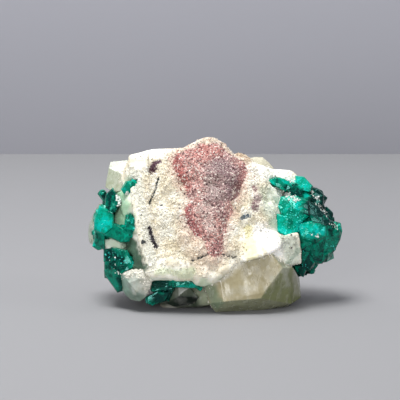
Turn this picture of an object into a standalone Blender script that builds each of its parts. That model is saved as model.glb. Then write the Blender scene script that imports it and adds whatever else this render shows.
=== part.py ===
"""Dioptase on calcite: a hand-sized mineral specimen.

Green dioptase crystals stand on a block of massive white calcite. A sandy red crust covers the middle of its
front, and clearer calcite crystals grow at its corners. Run it with blender --background --python part.py,
or from Blender's text editor. Units are metres, +Z is up, and the origin is the middle of the box's underside.

The specimen is laid out as it is seen from the front, looking down at it by LOOK_DOWN. A place is three sizes
in millimetres: to the right, up across the view, and near, towards the viewer.
"""

import math
import random
from collections import namedtuple

import bmesh
import bpy
from mathutils import Vector, noise
from mathutils.bvhtree import BVHTree

MM = 0.001
LOOK_DOWN = math.radians(10.0)
TABLE_DROP = 1.563
MIDDLE_RIGHT = 0.35
MIDDLE_BACK = 3.47

GAP = 0.3 * MM
FLAT_ENOUGH = math.radians(0.5)
WELD = 0.004 * MM

SKIN_CELL = 0.6 * MM
SKIN_SHARE = 0.115
CUT_SHARE = 0.6
CLUSTER_SHARE = 0.75
LUMP_SIZE = 3.4 * MM
FINE_LUMP_SIZE = 1.5 * MM
LUMP_HEIGHT = 0.7 * MM
SMOOTH_LUMP_HEIGHT = 0.15 * MM
PIT_SIZE = 2.2 * MM
PITS_START = 0.25
PIT_DEPTH = 2.0 * MM
BASE_FADE = 2.0 * MM
BASE_SKIN = 0.05 * MM
FRONT_STARTS = 1.0
FRONT_BLEND = 3.0
SPLIT_ROUNDS = 6

FAR_IN_FRONT = 60
CRUST_CLEARANCE = 4.0
CRUST_PROUD = 0.5
CRUST_DOME = 0.25
CRUST_BED = 0.8
CRUST_FACET = 1.9
CRUST_LUMP = 0.18
CRUST_LUMP_SIZE = 1.6
SMALLEST_BUD = 0.45
LARGEST_BUD = 0.8

CLEAVAGE_TILT = math.radians(63.75)
DIOPTASE_SLOPE = 0.62
BUD_SEED = 7

Crystal = namedtuple("Crystal", "at towards radius length")
Rhomb = namedtuple("Rhomb", "at towards edges spin")


def seen(right, up, near):
    """The point in the world of a place in the front view."""
    back = up * math.sin(LOOK_DOWN) - near * math.cos(LOOK_DOWN)
    height = up * math.cos(LOOK_DOWN) + near * math.sin(LOOK_DOWN) - TABLE_DROP
    return Vector((right - MIDDLE_RIGHT, back - MIDDLE_BACK, height)) * MM


def heading(right, up, near):
    """The direction in the world of a direction in the front view."""
    return (seen(right, up, near) - seen(0, 0, 0)).normalized()


def nearness(point):
    """How near the viewer a point in the world is, the third of the sizes that seen takes."""
    back = point.y / MM + MIDDLE_BACK
    height = point.z / MM + TABLE_DROP
    return height * math.sin(LOOK_DOWN) - back * math.cos(LOOK_DOWN)


def on_table(right, near):
    """A place in the front view that lies on the table."""
    up = (TABLE_DROP - near * math.sin(LOOK_DOWN)) / math.cos(LOOK_DOWN)
    return (right, up, near)


def axes_along(direction, spin):
    """Two directions square to this one and to each other, turned about it by spin."""
    side = direction.cross(Vector((0.37, -0.61, 0.7))).normalized()
    other = direction.cross(side)
    across = side * math.cos(spin) + other * math.sin(spin)
    return across, direction.cross(across)


# Shapes. Each is a list of the corners of one convex crystal or lump.


def block(*places):
    """A lump whose corners are these places."""
    return [seen(*place) for place in places]


def dioptase(crystal):
    """A six-sided prism with three sloping faces on each end, the real habit of dioptase."""
    direction = heading(*crystal.towards)
    across, other = axes_along(direction, crystal.at[0] + crystal.at[1])
    radius = crystal.radius * MM
    half = crystal.length * MM / 2
    corners = []
    for end in (1, -1):
        corners.append(seen(*crystal.at) + direction * end * half)
        for turn in range(6):
            angle = turn * math.pi / 3
            low = (turn % 2 == 0) == (end == 1)
            drop = DIOPTASE_SLOPE * radius * (1.0 if low else 0.5)
            along = max(half - drop, 0.1 * half)
            ring = across * math.cos(angle) + other * math.sin(angle)
            corners.append(seen(*crystal.at) + ring * radius + direction * end * along)
    return corners


def cleavage_rhomb(rhomb):
    """A block of calcite broken along its three cleavages, leaning rhombs on all sides."""
    direction = heading(*rhomb.towards)
    across, other = axes_along(direction, math.radians(rhomb.spin))
    edges = []
    for index, length in enumerate(rhomb.edges):
        angle = index * 2 * math.pi / 3
        ring = across * math.cos(angle) + other * math.sin(angle)
        lean = direction * math.cos(CLEAVAGE_TILT) + ring * math.sin(CLEAVAGE_TILT)
        edges.append(lean * length * MM)
    start = seen(*rhomb.at) - sum(edges, Vector()) / 2
    corners = []
    for pick in range(8):
        chosen = [edge for index, edge in enumerate(edges) if pick >> index & 1]
        corners.append(start + sum(chosen, Vector()))
    return corners


def buds(crystals, count, smallest, largest):
    """Small crystals that grow out of the outer sides of these large ones."""
    drawn = random.Random(BUD_SEED)
    middle = [sum(c.at[axis] for c in crystals) / len(crystals) for axis in range(3)]
    grown = []
    for crystal in crystals:
        outward = Vector([crystal.at[axis] - middle[axis] for axis in range(3)])
        outward = (outward + Vector((0, 0, 1.5))).normalized()
        for _ in range(count):
            wander = Vector([drawn.uniform(-1, 1) for _ in range(3)])
            way = (outward + wander * 0.9).normalized()
            place = Vector(crystal.at) + way * crystal.radius * drawn.uniform(0.75, 1.0)
            radius = drawn.uniform(smallest, largest)
            grown.append(Crystal(tuple(place), tuple(way), radius, radius * 2.6))
    return grown


# Meshes and Booleans.


def hull(corners, grow=0.0):
    """The closed convex mesh round these corners, its faces moved out by grow."""
    made = bmesh.new()
    for corner in corners:
        made.verts.new(corner)
    found = bmesh.ops.convex_hull(made, input=made.verts)
    unused = set(found["geom_interior"]) | set(found["geom_unused"])
    loose = [item for item in unused if isinstance(item, bmesh.types.BMVert)]
    bmesh.ops.delete(made, geom=loose, context="VERTS")
    bmesh.ops.dissolve_limit(
        made, angle_limit=FLAT_ENOUGH, verts=made.verts, edges=made.edges
    )
    bmesh.ops.recalc_face_normals(made, faces=made.faces)
    made.normal_update()
    if grow:
        moved = [v.co + v.normal * v.calc_shell_factor() * grow for v in made.verts]
        made.free()
        return hull(moved)
    bmesh.ops.triangulate(made, faces=made.faces)
    mesh = bpy.data.meshes.new("shape")
    made.to_mesh(mesh)
    made.free()
    return mesh


def helper(mesh):
    """An object that only takes part in a Boolean."""
    obj = bpy.data.objects.new("helper", mesh)
    obj.hide_render = True
    obj.display_type = "WIRE"
    bpy.context.scene.collection.objects.link(obj)
    return obj


def applied(obj):
    """The helper's mesh as its modifiers leave it. The helper goes."""
    graph = bpy.context.evaluated_depsgraph_get()
    made = bpy.data.meshes.new_from_object(obj.evaluated_get(graph))
    bpy.data.objects.remove(obj)
    return made


def boolean(mesh, others, operation):
    """The mesh after a Boolean with each of the other meshes in turn."""
    for other in others:
        base = helper(mesh)
        tool = helper(other)
        step = base.modifiers.new("with shape", "BOOLEAN")
        step.operation = operation
        step.solver = "EXACT"
        step.object = tool
        mesh = applied(base)
        bpy.data.objects.remove(tool)
    return mesh


def bodies_of(edited):
    """The sets of faces that hang together."""
    left = set(edited.faces)
    found = []
    while left:
        waiting = [left.pop()]
        body = set(waiting)
        while waiting:
            face = waiting.pop()
            near = {other for edge in face.edges for other in edge.link_faces} & left
            left -= near
            body |= near
            waiting.extend(near)
        found.append(body)
    return found


def volume_of(faces):
    """The volume inside these faces."""
    total = 0.0
    for face in faces:
        first = face.verts[0].co
        for second, third in zip(face.verts[1:], face.verts[2:]):
            total += first.dot(second.co.cross(third.co)) / 6
    return total


def tidied(mesh):
    """The mesh welded, in triangles, and down to its one large body."""
    edited = bmesh.new()
    edited.from_mesh(mesh)
    bmesh.ops.remove_doubles(edited, verts=edited.verts, dist=WELD)
    bmesh.ops.triangulate(edited, faces=edited.faces)
    bodies = sorted(bodies_of(edited), key=volume_of)
    for body in bodies[:-1]:
        bmesh.ops.delete(edited, geom=list(body), context="FACES")
    loose = [vertex for vertex in edited.verts if not vertex.link_faces]
    bmesh.ops.delete(edited, geom=loose, context="VERTS")
    edited.to_mesh(mesh)
    edited.free()
    return mesh


def fused(shapes, grow=0.0):
    """One mesh of crystals that have grown into each other."""
    meshes = [hull(corners, grow) for corners in shapes]
    return tidied(boolean(meshes[0], meshes[1:], "UNION"))


def even_skin(mesh):
    """The mesh with a skin of even cells."""
    obj = helper(mesh)
    remesh = obj.modifiers.new("even skin", "REMESH")
    remesh.mode = "VOXEL"
    remesh.voxel_size = SKIN_CELL
    return applied(obj)


def fewer_faces(mesh, share):
    """The mesh with this share of its triangles. The slivers and flat ones go first."""
    obj = helper(mesh)
    decimate = obj.modifiers.new("fewer faces", "DECIMATE")
    decimate.ratio = share
    decimate.use_collapse_triangulate = True
    return applied(obj)


def flat_underneath(mesh):
    """The mesh with the face that it rests on exactly level."""
    for vertex in mesh.vertices:
        if vertex.co.z < BASE_SKIN:
            vertex.co.z = 0.0
    return mesh


def weathered(mesh):
    """The block with lumps and pits all over, and its underside flat."""
    skin = even_skin(mesh)
    edited = bmesh.new()
    edited.from_mesh(skin)
    edited.normal_update()
    places = [(vertex, vertex.co.copy(), vertex.normal.copy()) for vertex in edited.verts]
    for vertex, place, normal in places:
        if place.z < SKIN_CELL / 2:
            vertex.co.z = 0.0
            continue
        vertex.co = place + normal * lump_height(place)
        vertex.co.z = max(vertex.co.z, SKIN_CELL / 2)
    edited.to_mesh(skin)
    edited.free()
    return fewer_faces(skin, SKIN_SHARE)


def lump_height(place):
    """How far the calcite's surface stands out here: crumbly lumps in front, smoother elsewhere.

    The lumps are counted from the layout's own zero, so moving the origin leaves them as they are.
    """
    front = min(max((nearness(place) - FRONT_STARTS) / FRONT_BLEND, 0.0), 1.0)
    height = SMOOTH_LUMP_HEIGHT + (LUMP_HEIGHT - SMOOTH_LUMP_HEIGHT) * front
    fixed = place + Vector((MIDDLE_RIGHT, MIDDLE_BACK, 0.0)) * MM
    broad = noise.noise(fixed / LUMP_SIZE)
    fine = noise.noise(fixed / FINE_LUMP_SIZE + Vector((5.0, 1.0, 8.0)))
    hollow = max(noise.noise(fixed / PIT_SIZE + Vector((3.0, 9.0, 2.0))) - PITS_START, 0.0)
    fade = min(place.z / BASE_FADE, 1.0)
    return fade * (height * (broad + 0.6 * fine) - PIT_DEPTH * front * hollow)


def front_of(surface):
    """A function that says how near the front of this mesh comes at (right, up)."""
    tree = BVHTree.FromPolygons(
        [vertex.co for vertex in surface.vertices],
        [list(face.vertices) for face in surface.polygons],
    )
    look = heading(0, 0, -1)

    def depth(right, up):
        hit = tree.ray_cast(seen(right, up, FAR_IN_FRONT), look)[0]
        if hit is None:
            hit = tree.find_nearest(seen(right, up, 0))[0]
        return nearness(hit)

    return depth


def outward_of_rim(made):
    """For each vertex on the rim of a flat mesh, the direction straight out of it in the plane."""
    outward = {}
    for edge in made.edges:
        if edge.is_boundary:
            first, second = edge.verts
            side = (second.co - first.co).cross(Vector((0, 0, 1))).normalized()
            inside = edge.link_faces[0].calc_center_median() - first.co
            if side.dot(inside) > 0:
                side = -side
            for vertex in edge.verts:
                outward[vertex] = outward.get(vertex, Vector()) + side
    return {vertex: side.normalized() for vertex, side in outward.items()}


def draped(surface, outline, room=0.0):
    """A closed slab that follows the front of another mesh, inside an outline of (right, up).

    With room, it is larger by that on its rim and back, and it stands far out in front.
    """
    depth = front_of(surface)
    made = bmesh.new()
    made.faces.new([made.verts.new((right, up, 0)) for right, up in outline])
    bmesh.ops.triangulate(made, faces=made.faces)
    for _ in range(SPLIT_ROUNDS):
        long = [edge for edge in made.edges if edge.calc_length() > CRUST_FACET]
        if not long:
            break
        bmesh.ops.subdivide_edges(made, edges=long, cuts=1)
        bmesh.ops.triangulate(made, faces=made.faces)
    outward = outward_of_rim(made)
    in_front = []
    for vertex in made.verts:
        place = vertex.co.copy()
        near = depth(place.x, place.y)
        rise = CRUST_PROUD if vertex in outward else CRUST_PROUD + CRUST_DOME
        rise += CRUST_LUMP * noise.noise(place / CRUST_LUMP_SIZE)
        if room:
            rise = CRUST_CLEARANCE
        vertex.co = place + outward.get(vertex, Vector()) * room
        vertex.co.z = near
        in_front.append((vertex, rise))
    copied = bmesh.ops.extrude_face_region(made, geom=list(made.faces))["geom"]
    behind = [item for item in copied if isinstance(item, bmesh.types.BMVert)]
    for vertex, rise in in_front:
        vertex.co = seen(vertex.co.x, vertex.co.y, vertex.co.z + rise)
    for vertex in behind:
        vertex.co = seen(vertex.co.x, vertex.co.y, vertex.co.z - CRUST_BED - 2 * room)
    bmesh.ops.recalc_face_normals(made, faces=made.faces)
    mesh = bpy.data.meshes.new("crust")
    made.to_mesh(mesh)
    made.free()
    return mesh


# The layout, in millimetres as seen from the front.

CALCITE_LUMPS = {
    "main block": [
        (-14.85, 27.9, 2), (-14.2, 19.6, 5.5), (-11.7, 7.2, 9.8), (-11.3, 5.6, 9.5), (-7.4, 6.5, 10.5),
        (-1.4, 5, 10.5), (1.6, 7, 11), (4.9, 9.2, 10.5), (8.8, 10.4, 9), (-11.3, 29.2, 1), (-5.9, 29.3, 0.5),
        (5.8, 27.4, 0.5), (11.2, 25.2, -1), (12.6, 20.2, 2), (12.1, 14.4, 5), (-2.3, 20.2, 7.5),
        (-3, 12, 10.5), (-17.8, 21.6, 0.5), (-18.3, 15.7, 1.5), (-18.3, 11.2, 2.5), (-15.8, 6.5, 5),
        (-14, 26, -6), (-4, 28, -7), (8, 26, -8), (12, 20, -9), (12, 8, -8), (-12, 8, -7),
    ],
    "peak": [
        (-5.8, 28.8, 1.5), (-4.1, 30.1, 0.5), (-2.3, 31, -0.5), (-1.1, 31.5, -1), (0.5, 31.1, -1),
        (1.8, 30.4, -0.5), (2.9, 29, 0), (4.1, 27.7, 0.5), (-5, 24.7, 5), (0.4, 23.8, 6), (4.5, 23.8, 4.5),
        (-4, 28.5, -4), (3, 27.5, -4.5), (0, 30.2, -3.5), (0, 22, -4),
    ],
    "lump beside the peak": [
        (3.6, 28.1, -1.5), (4.5, 28.8, -2), (5.8, 28.4, -2.5), (6.7, 27.4, -2.5), (5.4, 26.5, 1.5),
        (4, 26, -5), (7, 25, -5),
    ],
    "right shoulder": [
        (5.9, 26.3, 2.5), (8.8, 25.9, 1.5), (11.2, 25.6, -0.5), (12.6, 24.5, -1), (4.9, 20.2, 7),
        (8.8, 20.2, 6), (12.2, 19.3, 3), (4.9, 15.1, 8.5), (8.8, 15.1, 7.5), (11.5, 15.5, 5),
        (6, 25, -6), (12, 23, -7), (13, 14, -6), (5, 14, -6),
    ],
    "lump at the top right": [
        (11.2, 25.6, -1), (12.6, 25.7, -1.5), (13.9, 25.6, -2), (15.1, 24.5, -2), (15.1, 23.6, 0),
        (13.5, 23.6, 1), (11.9, 24.5, 0.5), (12, 22, -6), (16, 21, -6),
    ],
    "under the right dioptase": [
        (12, 24, -2), (17, 22, -3), (19, 18, -3), (20, 14, -3), (18, 10, -2), (15, 9, 2), (13, 20, 0),
        (14, 14, 3), (12, 22, -9), (17, 18, -9), (18, 12, -8), (14, 7, -7),
    ],
    "under the left dioptase": [
        (-14, 22, 2), (-18, 21.5, -2), (-19, 17, -1), (-19.5, 12.5, 0), (-18, 9, 1), (-16, 5, 3),
        (-12, 5, 8), (-17, 20, -9), (-18, 12, -9), (-15, 5, -7),
    ],
    "ledge above the green seam": [
        (-11, 7.2, 10.2), (-8.5, 6.2, 11), (-5, 6.6, 11.4), (-1.5, 6, 11.3), (1.5, 7.6, 11.4),
        (-1, 9.5, 11.2), (-6, 9.2, 11.1), (-10, 9, 10.3), (-10, 6.4, 6), (1, 6.4, 6), (-5, 9, 6),
    ],
    "white patch at the lower left": [
        (-11.7, 2.7, 8.8), (-11.2, 4.3, 9.5), (-9.4, 4, 9.6), (-10, 2.9, 9), (-10.5, 3.5, 5),
    ],
    "foot": [
        (-11, 6, 6), (-1, 5, 7), (0, 1.5, 6.5), on_table(-9, 4), on_table(-10, -4), on_table(-6, -9),
        on_table(8, -10), on_table(12, -6), (11, 8, 4), (-13, 8, 2), (12, 10, -8), (-12, 10, -8),
    ],
    "back": [
        (-14, 25, -5), (-4, 27, -6), (6, 26, -7), (11, 21, -8), (13, 13, -9), (10, 5, -10),
        (-12, 6, -10), (-15, 14, -9), (-10, 20, -10), (2, 20, -12), (4, 10, -13), (-6, 10, -12.5),
    ],
    "bump low on the back": [
        (-3, 9, -14), (1, 7, -14), (-5, 6, -12.5), (3, 10, -13), (-1, 5, -12), (-1, 11, -12), (-1, 8, -8),
    ],
}

CALCITE_BLOCKS = {
    "left rim": [
        (-15, 28, 1.8), (-11.8, 28.8, 1.8), (-14.9, 27.7, 2.9), (-12, 27.6, 3.2), (-14.4, 19.6, 6.1),
        (-11.8, 19.8, 6.8), (-13.2, 13, 8.3), (-10.6, 13, 9.2), (-12, 7, 10.1), (-9.6, 6.6, 10.7),
        (-14.2, 27, -1), (-12, 27, -1), (-13.2, 19, 2), (-12, 19, 2), (-11.6, 8, 5), (-10, 8, 5),
    ],
    "bright bulge": [
        (4.5, 14.4, 8.6), (7.6, 15.5, 8.2), (11.2, 14.4, 6.9), (12.2, 13.7, 6.7), (4.9, 9.2, 11.4),
        (8.8, 10.3, 11.2), (10.3, 10.8, 10.2), (12.1, 11.9, 8.6), (6, 12, 2), (12, 12, 2),
    ],
    "pale cube on the right": [
        (12.2, 13.5, 7.5), (15.1, 14.2, 5.5), (15.5, 11.2, 6), (15.5, 9, 6.2), (12.2, 8.6, 8.6),
        (10.4, 9, 9.3), (9.9, 10.8, 9.6), (13, 13, 0), (15, 9, 0), (11, 9, 2),
    ],
    "beige patch on the left": [
        (-19.6, 13.7, 3), (-17.6, 13, 4), (-15.5, 12.2, 5.5), (-16.4, 11.2, 5), (-18.9, 11, 3.5),
        (-18, 14, 0), (-16, 11, 1),
    ],
    "white chip among the right crystals": [
        (13.0, 20.9, 2.8), (14.6, 21.7, 2.6), (15.8, 21.2, 2.2), (15.2, 20.2, 3.0), (13.6, 20.1, 3.2),
        (14, 20.8, -1), (15, 19.8, -1),
    ],
}

CALCITE_STEPS = [
    Rhomb((-6.5, 20, -8.2), (0.15, 0.35, -1), (9.5, 8.5, 7.5), 20),
    Rhomb((4.5, 14.5, -9), (-0.1, 0.1, -1), (10.5, 9, 8), 75),
    Rhomb((-8.5, 10, -8), (-0.35, -0.1, -1), (9, 8, 7.5), -35),
    Rhomb((9, 20.5, -6), (0.3, 0.5, -1), (7.5, 7, 6), 48),
    Rhomb((-2.5, 25.5, -5), (0, 1, -0.8), (7, 6.5, 6), 10),
    Rhomb((-12, 22.5, -4.5), (-0.6, 0.6, -0.8), (7.5, 7, 6), 130),
]

CRUST_OUTLINE = [
    (-6.2, 28.1), (-5.2, 28.4), (-4.4, 28.9), (-3.1, 29.2), (-2.2, 29.9), (-0.8, 29.7), (0.6, 29.9),
    (1.5, 29.1), (2.7, 28.0), (4.0, 27.3), (5.3, 26.6), (6.1, 25.0), (4.9, 22.0), (4.1, 20.5),
    (2.7, 19.8), (3.1, 18.0), (2.3, 15.7), (1.6, 13.0), (1.6, 10.8), (0.4, 9.9), (-0.9, 10.8),
    (-1.6, 13.0), (-3.8, 14.4), (-4.9, 16.9), (-4.5, 18.7), (-3.6, 19.8), (-4.5, 21.1),
    (-5.0, 23.0), (-6.3, 24.5), (-7.0, 25.9), (-6.7, 27.7),
]

CALCITE_CRYSTALS = {
    "lower_right_calcite_crystal": [
        (-1.4, 4.9, 9), (4.9, 9, 9.6), (9.5, 10.6, 9), (12.4, 8.1, 9.2), (9, 3.8, 10.8), (8.5, 2.7, 11),
        (3.4, 2.3, 10.8), (-0.2, 1.8, 9.8), on_table(0.4, 8), on_table(9, 6), on_table(13.4, 3),
        on_table(13, -5), on_table(-1, -5), (14.4, 7.9, 7.2), (15.5, 6.1, 3.5), (15.8, 2.7, 2.5),
        (14, 1.6, 5), (-1, 9, 3), (13, 10, 2), (14, 6, -4), (0, 7, -5),
    ],
    "upper_left_calcite_crystal": [
        (-18.5, 27, -2), (-15.5, 27.4, -1.5), (-14.6, 27.2, -1), (-18.8, 25.9, -1), (-19.4, 22.5, 0.5),
        (-18, 21.6, 1.5), (-16.4, 21.8, 2), (-14.8, 24.1, 1.5), (-17.6, 26, -6), (-13.6, 26.4, -6),
        (-18, 21.5, -5.4), (-14, 21.5, -5.4),
    ],
    "far_left_calcite_crystal": [
        (-20.5, 19.6, -3), (-21.4, 18, -3.6), (-22.3, 16.2, -4.2), (-22.6, 14.2, -4.6), (-22.3, 12.4, -4.2),
        (-21.2, 11.7, -3), (-18, 19, -2), (-18, 12, -2), (-18.6, 18.4, -8), (-19.6, 15, -8.4),
        (-18.8, 12.2, -7.4),
    ],
    "upper_right_calcite_crystal": [
        (6.3, 27.7, -4.5), (7.6, 28, -5), (9, 27.9, -5), (10.1, 27, -4.5), (11, 25.9, -4),
        (8.8, 26.1, -1.5), (6.7, 26.3, -1.5), (6.5, 24, -9), (11, 23, -8.5), (9, 26.5, -9),
    ],
    "lower_left_calcite_crystal": [
        (-16.4, 7.2, 6.5), (-14, 7.9, 7.5), (-11.5, 7.6, 9.5), (-11.3, 4.9, 10), (-11.9, 2.7, 8.5),
        (-13.1, 2.2, 7.5), (-14.4, 2.3, 7), (-16.2, 3.8, 6), (-13.7, 4.9, 9.6), (-15.5, 7, 1),
        (-11, 7, 2), (-12, 3, 2), (-15, 4, 2),
    ],
    "under_calcite_crystal": [
        (-8.5, 1.6, 6), (-7.7, 3.6, 7.5), (-6.5, 4.7, 8.5), (-4.5, 4.7, 8.8), (-2.9, 2.9, 8),
        (-3.4, 1.8, 6.8), (-4.9, 1.4, 6.5), (-6.8, 1.1, 6.5), (-7, 4, 2), (-4, 4, 2), (-5, 2.5, 2),
    ],
}

DIOPTASE_CLUSTERS = {
    "left_dioptase_cluster": [
        Crystal((-19.6, 16.5, 3), (-0.55, 0.35, 0.75), 1.75, 4.2),
        Crystal((-17.9, 19.6, 2.4), (-0.1, 0.25, 1), 1.45, 3.2),
        Crystal((-19.6, 20.9, 0.6), (-0.6, 0.8, 0.2), 0.75, 2.6),
        Crystal((-16.9, 14.6, 4.2), (1, -0.45, 0.35), 1.25, 4.8),
        Crystal((-14.7, 15.8, 5.2), (0.15, 0.9, 0.4), 1.35, 4.0),
        Crystal((-20.2, 12.9, 2), (-0.25, -0.9, 0.2), 1.2, 3.8),
        Crystal((-19.5, 17, -1.5), (-1, 0.3, -0.2), 1.6, 4.4),
        Crystal((-19.9, 14, -2), (-1, -0.5, 0.1), 1.5, 4.0),
        Crystal((-18.8, 18, 1), (-0.8, 0.6, 0.4), 1.3, 3.6),
        Crystal((-18.6, 14.6, 2), (-0.6, -0.4, 0.8), 1.4, 4.0),
    ],
    "upper_left_dioptase_crystal": [
        Crystal((-15.3, 22.4, 4.0), (0.5, 0.8, 0.3), 0.95, 2.8),
        Crystal((-14.3, 22.9, 4.0), (0.6, 0.7, 0.5), 0.85, 2.4),
    ],
    "lower_left_dioptase_cluster": [
        Crystal((-17.4, 9.6, 4.4), (-0.3, 0.2, 1), 1.9, 4.5),
        Crystal((-17.7, 7.4, 4), (-0.6, -0.5, 0.7), 1.4, 4.2),
        Crystal((-16.9, 5.6, 4.6), (0.1, -1, 0.35), 1.2, 4.8),
        Crystal((-15.2, 9.2, 5.6), (0.7, -0.2, 0.8), 1.4, 3.6),
        Crystal((-17.5, 8, 0), (-1, -0.2, -0.2), 1.8, 4.4),
        Crystal((-17.2, 7, 2.6), (-0.7, -0.4, 0.2), 1.7, 4.0),
    ],
    "lower_dioptase_seam": [
        Crystal((-9, 5, 8.9), (1, 0.15, 0.1), 1.1, 4.4),
        Crystal((-5.6, 5.7, 9.3), (1, -0.1, 0.1), 0.85, 4.4),
        Crystal((-3.2, 5, 9.5), (1, -0.55, 0), 0.5, 3.0),
        Crystal((-10, 2.9, 7.9), (1, 0.55, 0.1), 1.2, 4.6),
        Crystal((-7.9, 3.6, 8), (0.6, 1, 0.2), 0.9, 3.2),
    ],
    "right_dioptase_cluster": [
        Crystal((11.7, 23.2, 1.5), (-1, 0.1, 0.3), 1.0, 3.4),
        Crystal((12.9, 23, 1.5), (0.1, 0.8, 0.6), 0.9, 2.8),
        Crystal((14.4, 22, 1), (0.1, 0.7, 0.8), 1.5, 3.8),
        Crystal((15.8, 22.7, 0), (0.6, 0.9, 0.2), 1.4, 3.4),
        Crystal((18.1, 20.4, -1), (0.8, 0.7, 0.1), 1.4, 4.4),
        Crystal((16.2, 20.2, 1.5), (0.2, 0.2, 1), 1.6, 3.8),
        Crystal((14.2, 18.4, 2), (-0.2, 0.1, 1), 2.3, 4.8),
        Crystal((13, 15.5, 3), (-0.3, -0.3, 0.9), 1.9, 4.4),
        Crystal((17.6, 18.2, 0.5), (0.4, 0.1, 1), 1.8, 4.6),
        Crystal((19.7, 17.3, -1.5), (1, 0.25, 0.2), 1.6, 4.2),
        Crystal((17.1, 14.6, 2.5), (0.2, -0.3, 1), 2.2, 4.8),
        Crystal((21.1, 14.6, 0), (1, 0, 0.3), 1.8, 4.6),
        Crystal((16.2, 12.4, 2), (0.1, -0.7, 0.8), 1.5, 4.0),
        Crystal((19.5, 11.7, 0), (0.35, -1, 0.3), 2.3, 6.0),
        Crystal((16.7, 9.5, 1), (0.2, -1, 0.5), 1.4, 4.2),
        Crystal((15.5, 7.9, 1), (-0.1, -1, 0.4), 1.1, 3.4),
        Crystal((18, 20, -4.5), (0.8, 0.6, -0.6), 2.2, 5.0),
        Crystal((20, 13.5, -4), (1, -0.1, -0.5), 2.4, 5.4),
        Crystal((16.8, 9.0, -2.5), (0.6, -0.8, -0.3), 2.0, 4.8),
        Crystal((18.6, 16.5, -1), (1, 0.1, 0.1), 2.4, 5.0),
    ],
}

CLUSTERS_WITH_BUDS = {
    "left_dioptase_cluster": 1,
    "lower_left_dioptase_cluster": 1,
    "right_dioptase_cluster": 1,
}

CLEFTS = [
    [(-9.6, 24.0, 9), (-9.2, 24.0, 9), (-11.2, 19.4, 9), (-10.8, 19.4, 9), (-9.6, 24.0, 2.6),
     (-9.2, 24.0, 2.6), (-11.2, 19.4, 3.9), (-10.8, 19.4, 3.9)],
    [(-11.4, 15.2, 11), (-11.0, 15.2, 11), (-10.3, 11.6, 12), (-9.9, 11.6, 12), (-11.4, 15.2, 5.6),
     (-11.0, 15.2, 5.6), (-10.3, 11.6, 7.4), (-9.9, 11.6, 7.4)],
]

# Each material: red, green and blue in linear light, then roughness.

CALCITE_WHITE = (0.82, 0.79, 0.68, 0.75)
CRUST_PINK = (0.45, 0.24, 0.22, 0.9)
CALCITE_GREEN = (0.36, 0.40, 0.24, 0.3)
CALCITE_PALE = (0.62, 0.64, 0.50, 0.35)
CALCITE_GREY = (0.38, 0.42, 0.33, 0.35)
CALCITE_OLIVE = (0.05, 0.09, 0.06, 0.35)
DIOPTASE_BRIGHT = (0.02, 0.42, 0.33, 0.2)
DIOPTASE_DARK = (0.01, 0.16, 0.12, 0.2)

FINISHES = {
    "calcite_matrix": CALCITE_WHITE,
    "red_druse_crust": CRUST_PINK,
    "lower_right_calcite_crystal": CALCITE_GREEN,
    "upper_left_calcite_crystal": CALCITE_PALE,
    "far_left_calcite_crystal": CALCITE_PALE,
    "upper_right_calcite_crystal": CALCITE_PALE,
    "lower_left_calcite_crystal": CALCITE_GREY,
    "under_calcite_crystal": CALCITE_OLIVE,
    "left_dioptase_cluster": DIOPTASE_BRIGHT,
    "lower_left_dioptase_cluster": DIOPTASE_DARK,
    "upper_left_dioptase_crystal": DIOPTASE_BRIGHT,
    "lower_dioptase_seam": DIOPTASE_DARK,
    "right_dioptase_cluster": DIOPTASE_BRIGHT,
}


def piece(name, mesh):
    """The object for one piece, with its own material."""
    red, green, blue, roughness = FINISHES[name]
    material = bpy.data.materials.new(name)
    material.use_nodes = True
    shader = material.node_tree.nodes["Principled BSDF"]
    shader.inputs["Base Color"].default_value = (red, green, blue, 1.0)
    shader.inputs["Roughness"].default_value = roughness
    mesh.name = name
    mesh.materials.clear()
    mesh.materials.append(material)
    obj = bpy.data.objects.new(name, mesh)
    bpy.context.scene.collection.objects.link(obj)
    return obj


def clear_scene():
    """Removes whatever the scene starts with."""
    for obj in list(bpy.data.objects):
        bpy.data.objects.remove(obj)


def dioptase_pieces():
    """Each cluster of dioptase, and the room that it takes in the calcite round it."""
    rooms = []
    for name, crystals in DIOPTASE_CLUSTERS.items():
        count = CLUSTERS_WITH_BUDS.get(name, 0)
        grown = crystals + buds(crystals, count, SMALLEST_BUD, LARGEST_BUD)
        shapes = [dioptase(crystal) for crystal in grown]
        piece(name, fewer_faces(fused(shapes), CLUSTER_SHARE))
        rooms.append(fused(shapes, GAP))
    return rooms


def calcite_crystal_pieces(rooms):
    """Each clear calcite crystal, cut back round what grows through it, and its own room."""
    taken = list(rooms)
    for name, places in CALCITE_CRYSTALS.items():
        corners = block(*places)
        piece(name, tidied(boolean(hull(corners), taken, "DIFFERENCE")))
        taken.append(hull(corners, GAP))
    return taken


def matrix_and_crust(rooms):
    """The calcite block and the crust on its front."""
    lumps = weathered(fused([block(*places) for places in CALCITE_LUMPS.values()]))
    broken = [block(*places) for places in CALCITE_BLOCKS.values()]
    broken += [cleavage_rhomb(rhomb) for rhomb in CALCITE_STEPS]
    matrix = boolean(lumps, [hull(corners) for corners in broken], "UNION")
    crust = draped(matrix, CRUST_OUTLINE)
    bed = draped(matrix, CRUST_OUTLINE, GAP / MM)
    clefts = [hull(block(*places)) for places in CLEFTS]
    piece("red_druse_crust", tidied(boolean(crust, rooms, "DIFFERENCE")))
    cut = tidied(boolean(matrix, rooms + [bed] + clefts, "DIFFERENCE"))
    piece("calcite_matrix", flat_underneath(fewer_faces(cut, CUT_SHARE)))


def main():
    clear_scene()
    rooms = dioptase_pieces()
    rooms = calcite_crystal_pieces(rooms)
    matrix_and_crust(rooms)


main()
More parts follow.
